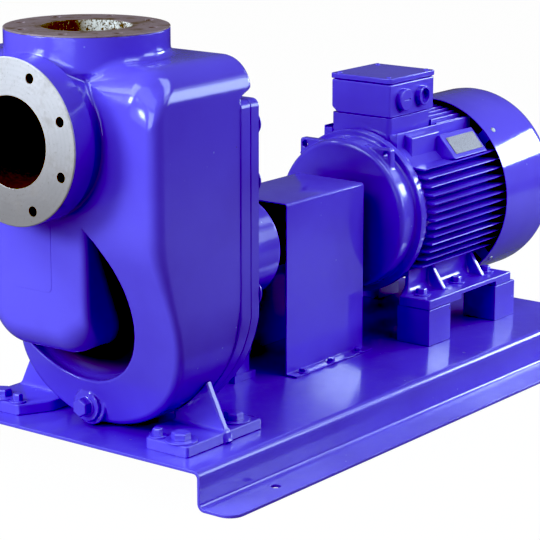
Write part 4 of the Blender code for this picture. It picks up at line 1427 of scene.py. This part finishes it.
            screws.turned([(r - 0.0015, 0.0060), (r + 0.0008, 0.0058), (r + 0.0026, 0.0035)], Axis.Z, (0, 0), 24,
                          place=turn)
        make("cowl_screws", screws, self.finishes.steel)
        ring = [(x0 + 0.0200, 0.150), (x0 + 0.0200, r - 0.0022), (x0 + 0.0215, r - 0.0022), (x0 + 0.0215, 0.150)]
        make("cowl_air_ring", Shell().turned(ring, around=True), self.finishes.plastic)


@dataclass
class CarriedOver:
    """CAD solids whose shape is right, given a full finish."""

    finishes: Finishes
    kept: dict[str, str] = field(default_factory=lambda: {
        "bracket_leg": "cast", "pump_shaft": "steel", "motor_shaft": "steel", "pump_hub": "iron", "motor_hub": "iron",
        "coupling_spider": "rubber", "motor_shield_rear": "motor", "fan": "plastic"})

    def dress(self) -> None:
        """Assigns the finishes."""
        for node, finish in self.kept.items():
            thing = frame["nodes"][node]
            material = getattr(self.finishes, finish)
            if not thing.material_slots:
                thing.data.materials.append(material)
            for slot in thing.material_slots:
                slot.material = material
            log.info("%s: carried over", node)


@dataclass
class Studio:
    """White room, soft lights and the camera at the photograph's angle."""

    camera_place: Colour = (-3.3414, -2.5406, 1.2917)
    camera_turn: tuple[float, float, float] = (76.07, 0.0, -52.52)
    lens: float = 148.13
    black: Colour = (0.022, 0.047, 0.090)
    tint: Colour = (0.72, 0.90, 1.0)
    softboxes: tuple[tuple[str, Colour, Colour, tuple[float, float], float], ...] = (
        ("box_far_high", (-2.12, 0.94, 2.36), (-0.1, 0.0, 0.35), (1.3, 1.3), 27.0),
        ("key_front_far", (-2.73, 1.01, 1.38), (-0.3, 0.0, 0.45), (0.7, 0.7), 38.0),
        ("box_front", (-2.97, -0.51, 1.08), (-0.1, 0.0, 0.35), (1.3, 1.3), 27.0),
        ("box_front_far", (-2.74, 1.23, 1.08), (-0.1, 0.0, 0.35), (1.3, 1.3), 5.0),
        ("box_near_high", (0.287, -2.196, 2.357), (-0.1, 0.0, 0.35), (1.3, 1.3), 12.0),
        ("box_near_right", (1.71, -2.16, 1.38), (-0.1, 0.0, 0.35), (1.3, 1.3), 9.3),
        ("box_above_motor", (0.074, -1.034, 2.255), (0.45, 0.0, 0.35), (0.9, 0.9), 12.0),
        ("box_front_high", (-2.30, -0.39, 2.36), (-0.1, 0.0, 0.35), (1.3, 1.3), 7.2),
        ("box_near_motor", (1.20, -1.75, 1.05), (0.45, 0.0, 0.35), (0.9, 0.9), 12.0),
        ("strip_behind_right", (2.10, -1.02, 1.75), (-0.1, 0.0, 0.35), (0.5, 0.5), 2.4),
        ("strip_for_cowl", (2.32, -1.01, 1.03), (0.62, -0.17, 0.41), (0.9, 0.5), 26.0),
        ("strip_far_high", (-0.75, 2.05, 2.45), (-0.5, 0.0, 0.7), (1.2, 0.15), 9.0),
    )

    def build(self) -> None:
        """Sets the room up."""
        self._floor()
        self._world()
        for name, place, aim, size, power in self.softboxes:
            self._softbox(name, Vector(place), Vector(aim), size, power)
        view = bpy.data.cameras.new("camera")
        view.lens, view.sensor_width, view.clip_end = self.lens, 36.0, 60.0
        camera = bpy.data.objects.new("camera", view)
        camera.location = self.camera_place
        camera.rotation_euler = [math.radians(a) for a in self.camera_turn]
        bpy.context.scene.collection.objects.link(camera)
        bpy.context.scene.camera = camera
        settings = bpy.context.scene.view_settings
        settings.view_transform = "Standard"
        settings.use_curve_mapping = True
        settings.curve_mapping.black_level = self.black

    def _softbox(self, name: str, place: Vector, aim: Vector, size: tuple[float, float], power: float) -> None:
        """Hangs one softbox.

        Args:
            name: Its name.
            place: Where its middle is.
            aim: The point that it faces.
            size: Width and height.
            power: Watts.
        """
        lamp = bpy.data.lights.new(name, "AREA")
        lamp.shape, lamp.size, lamp.size_y, lamp.energy, lamp.color = "RECTANGLE", size[0], size[1], power, self.tint
        light = bpy.data.objects.new(name, lamp)
        light.location = place
        light.rotation_euler = (aim - place).to_track_quat("-Z", "Y").to_euler()
        bpy.context.scene.collection.objects.link(light)

    @staticmethod
    def _floor() -> None:
        """Lays the pale floor."""
        graph = Graph("pale_floor")
        graph.finish((0.20, 0.20, 0.21), 0.9)
        seen = graph.node("ShaderNodeLightPath", out="Is Camera Ray")
        glow = graph.node("ShaderNodeEmission", {}, {"Color": (1.0, 1.0, 1.0), "Strength": 1.06})
        mixed = graph.node("ShaderNodeMixShader", {}, {0: seen * 0.93})
        tree = graph.tree
        tree.links.new(graph.shader.outputs[0], mixed.socket.node.inputs[1])
        tree.links.new(glow.socket, mixed.socket.node.inputs[2])
        tree.links.new(mixed.socket, tree.nodes["Material Output"].inputs["Surface"])
        shell = Shell().block((-8.0, 8.0), (-8.0, 8.0), (-0.02, 0.0))
        floor = raw_object("floor", shell)
        floor.data.materials.append(graph.material)

    @staticmethod
    def _world() -> None:
        """Lights the room from all round: white to the camera, dim in the gloss."""
        world = bpy.data.worlds.new("room")
        world.use_nodes = True
        tree = world.node_tree
        dim = tree.nodes["Background"]
        dim.inputs["Color"].default_value = (0.72, 0.90, 1.0, 1.0)
        dim.inputs["Strength"].default_value = 0.16
        white = tree.nodes.new("ShaderNodeBackground")
        white.inputs["Color"].default_value = (1.0, 1.0, 1.0, 1.0)
        path = tree.nodes.new("ShaderNodeLightPath")
        mix = tree.nodes.new("ShaderNodeMixShader")
        tree.links.new(path.outputs["Is Camera Ray"], mix.inputs[0])
        tree.links.new(dim.outputs[0], mix.inputs[1])
        tree.links.new(white.outputs[0], mix.inputs[2])
        tree.links.new(mix.outputs[0], tree.nodes["World Output"].inputs["Surface"])
        bpy.context.scene.world = world


def main() -> None:
    """Builds the set's pieces in order."""
    logging.basicConfig(level=logging.INFO, format="%(name)s %(message)s")
    finishes = Finishes()
    for sub_assembly in (Studio(), BasePlate(finishes), Casing(finishes), PumpFeet(finishes), Bracket(finishes),
                         Guard(finishes), Motor(finishes)):
        sub_assembly.build()
        log.info("%s built", type(sub_assembly).__name__)
    CarriedOver(finishes).dress()


if __name__ == "__main__":
    main()
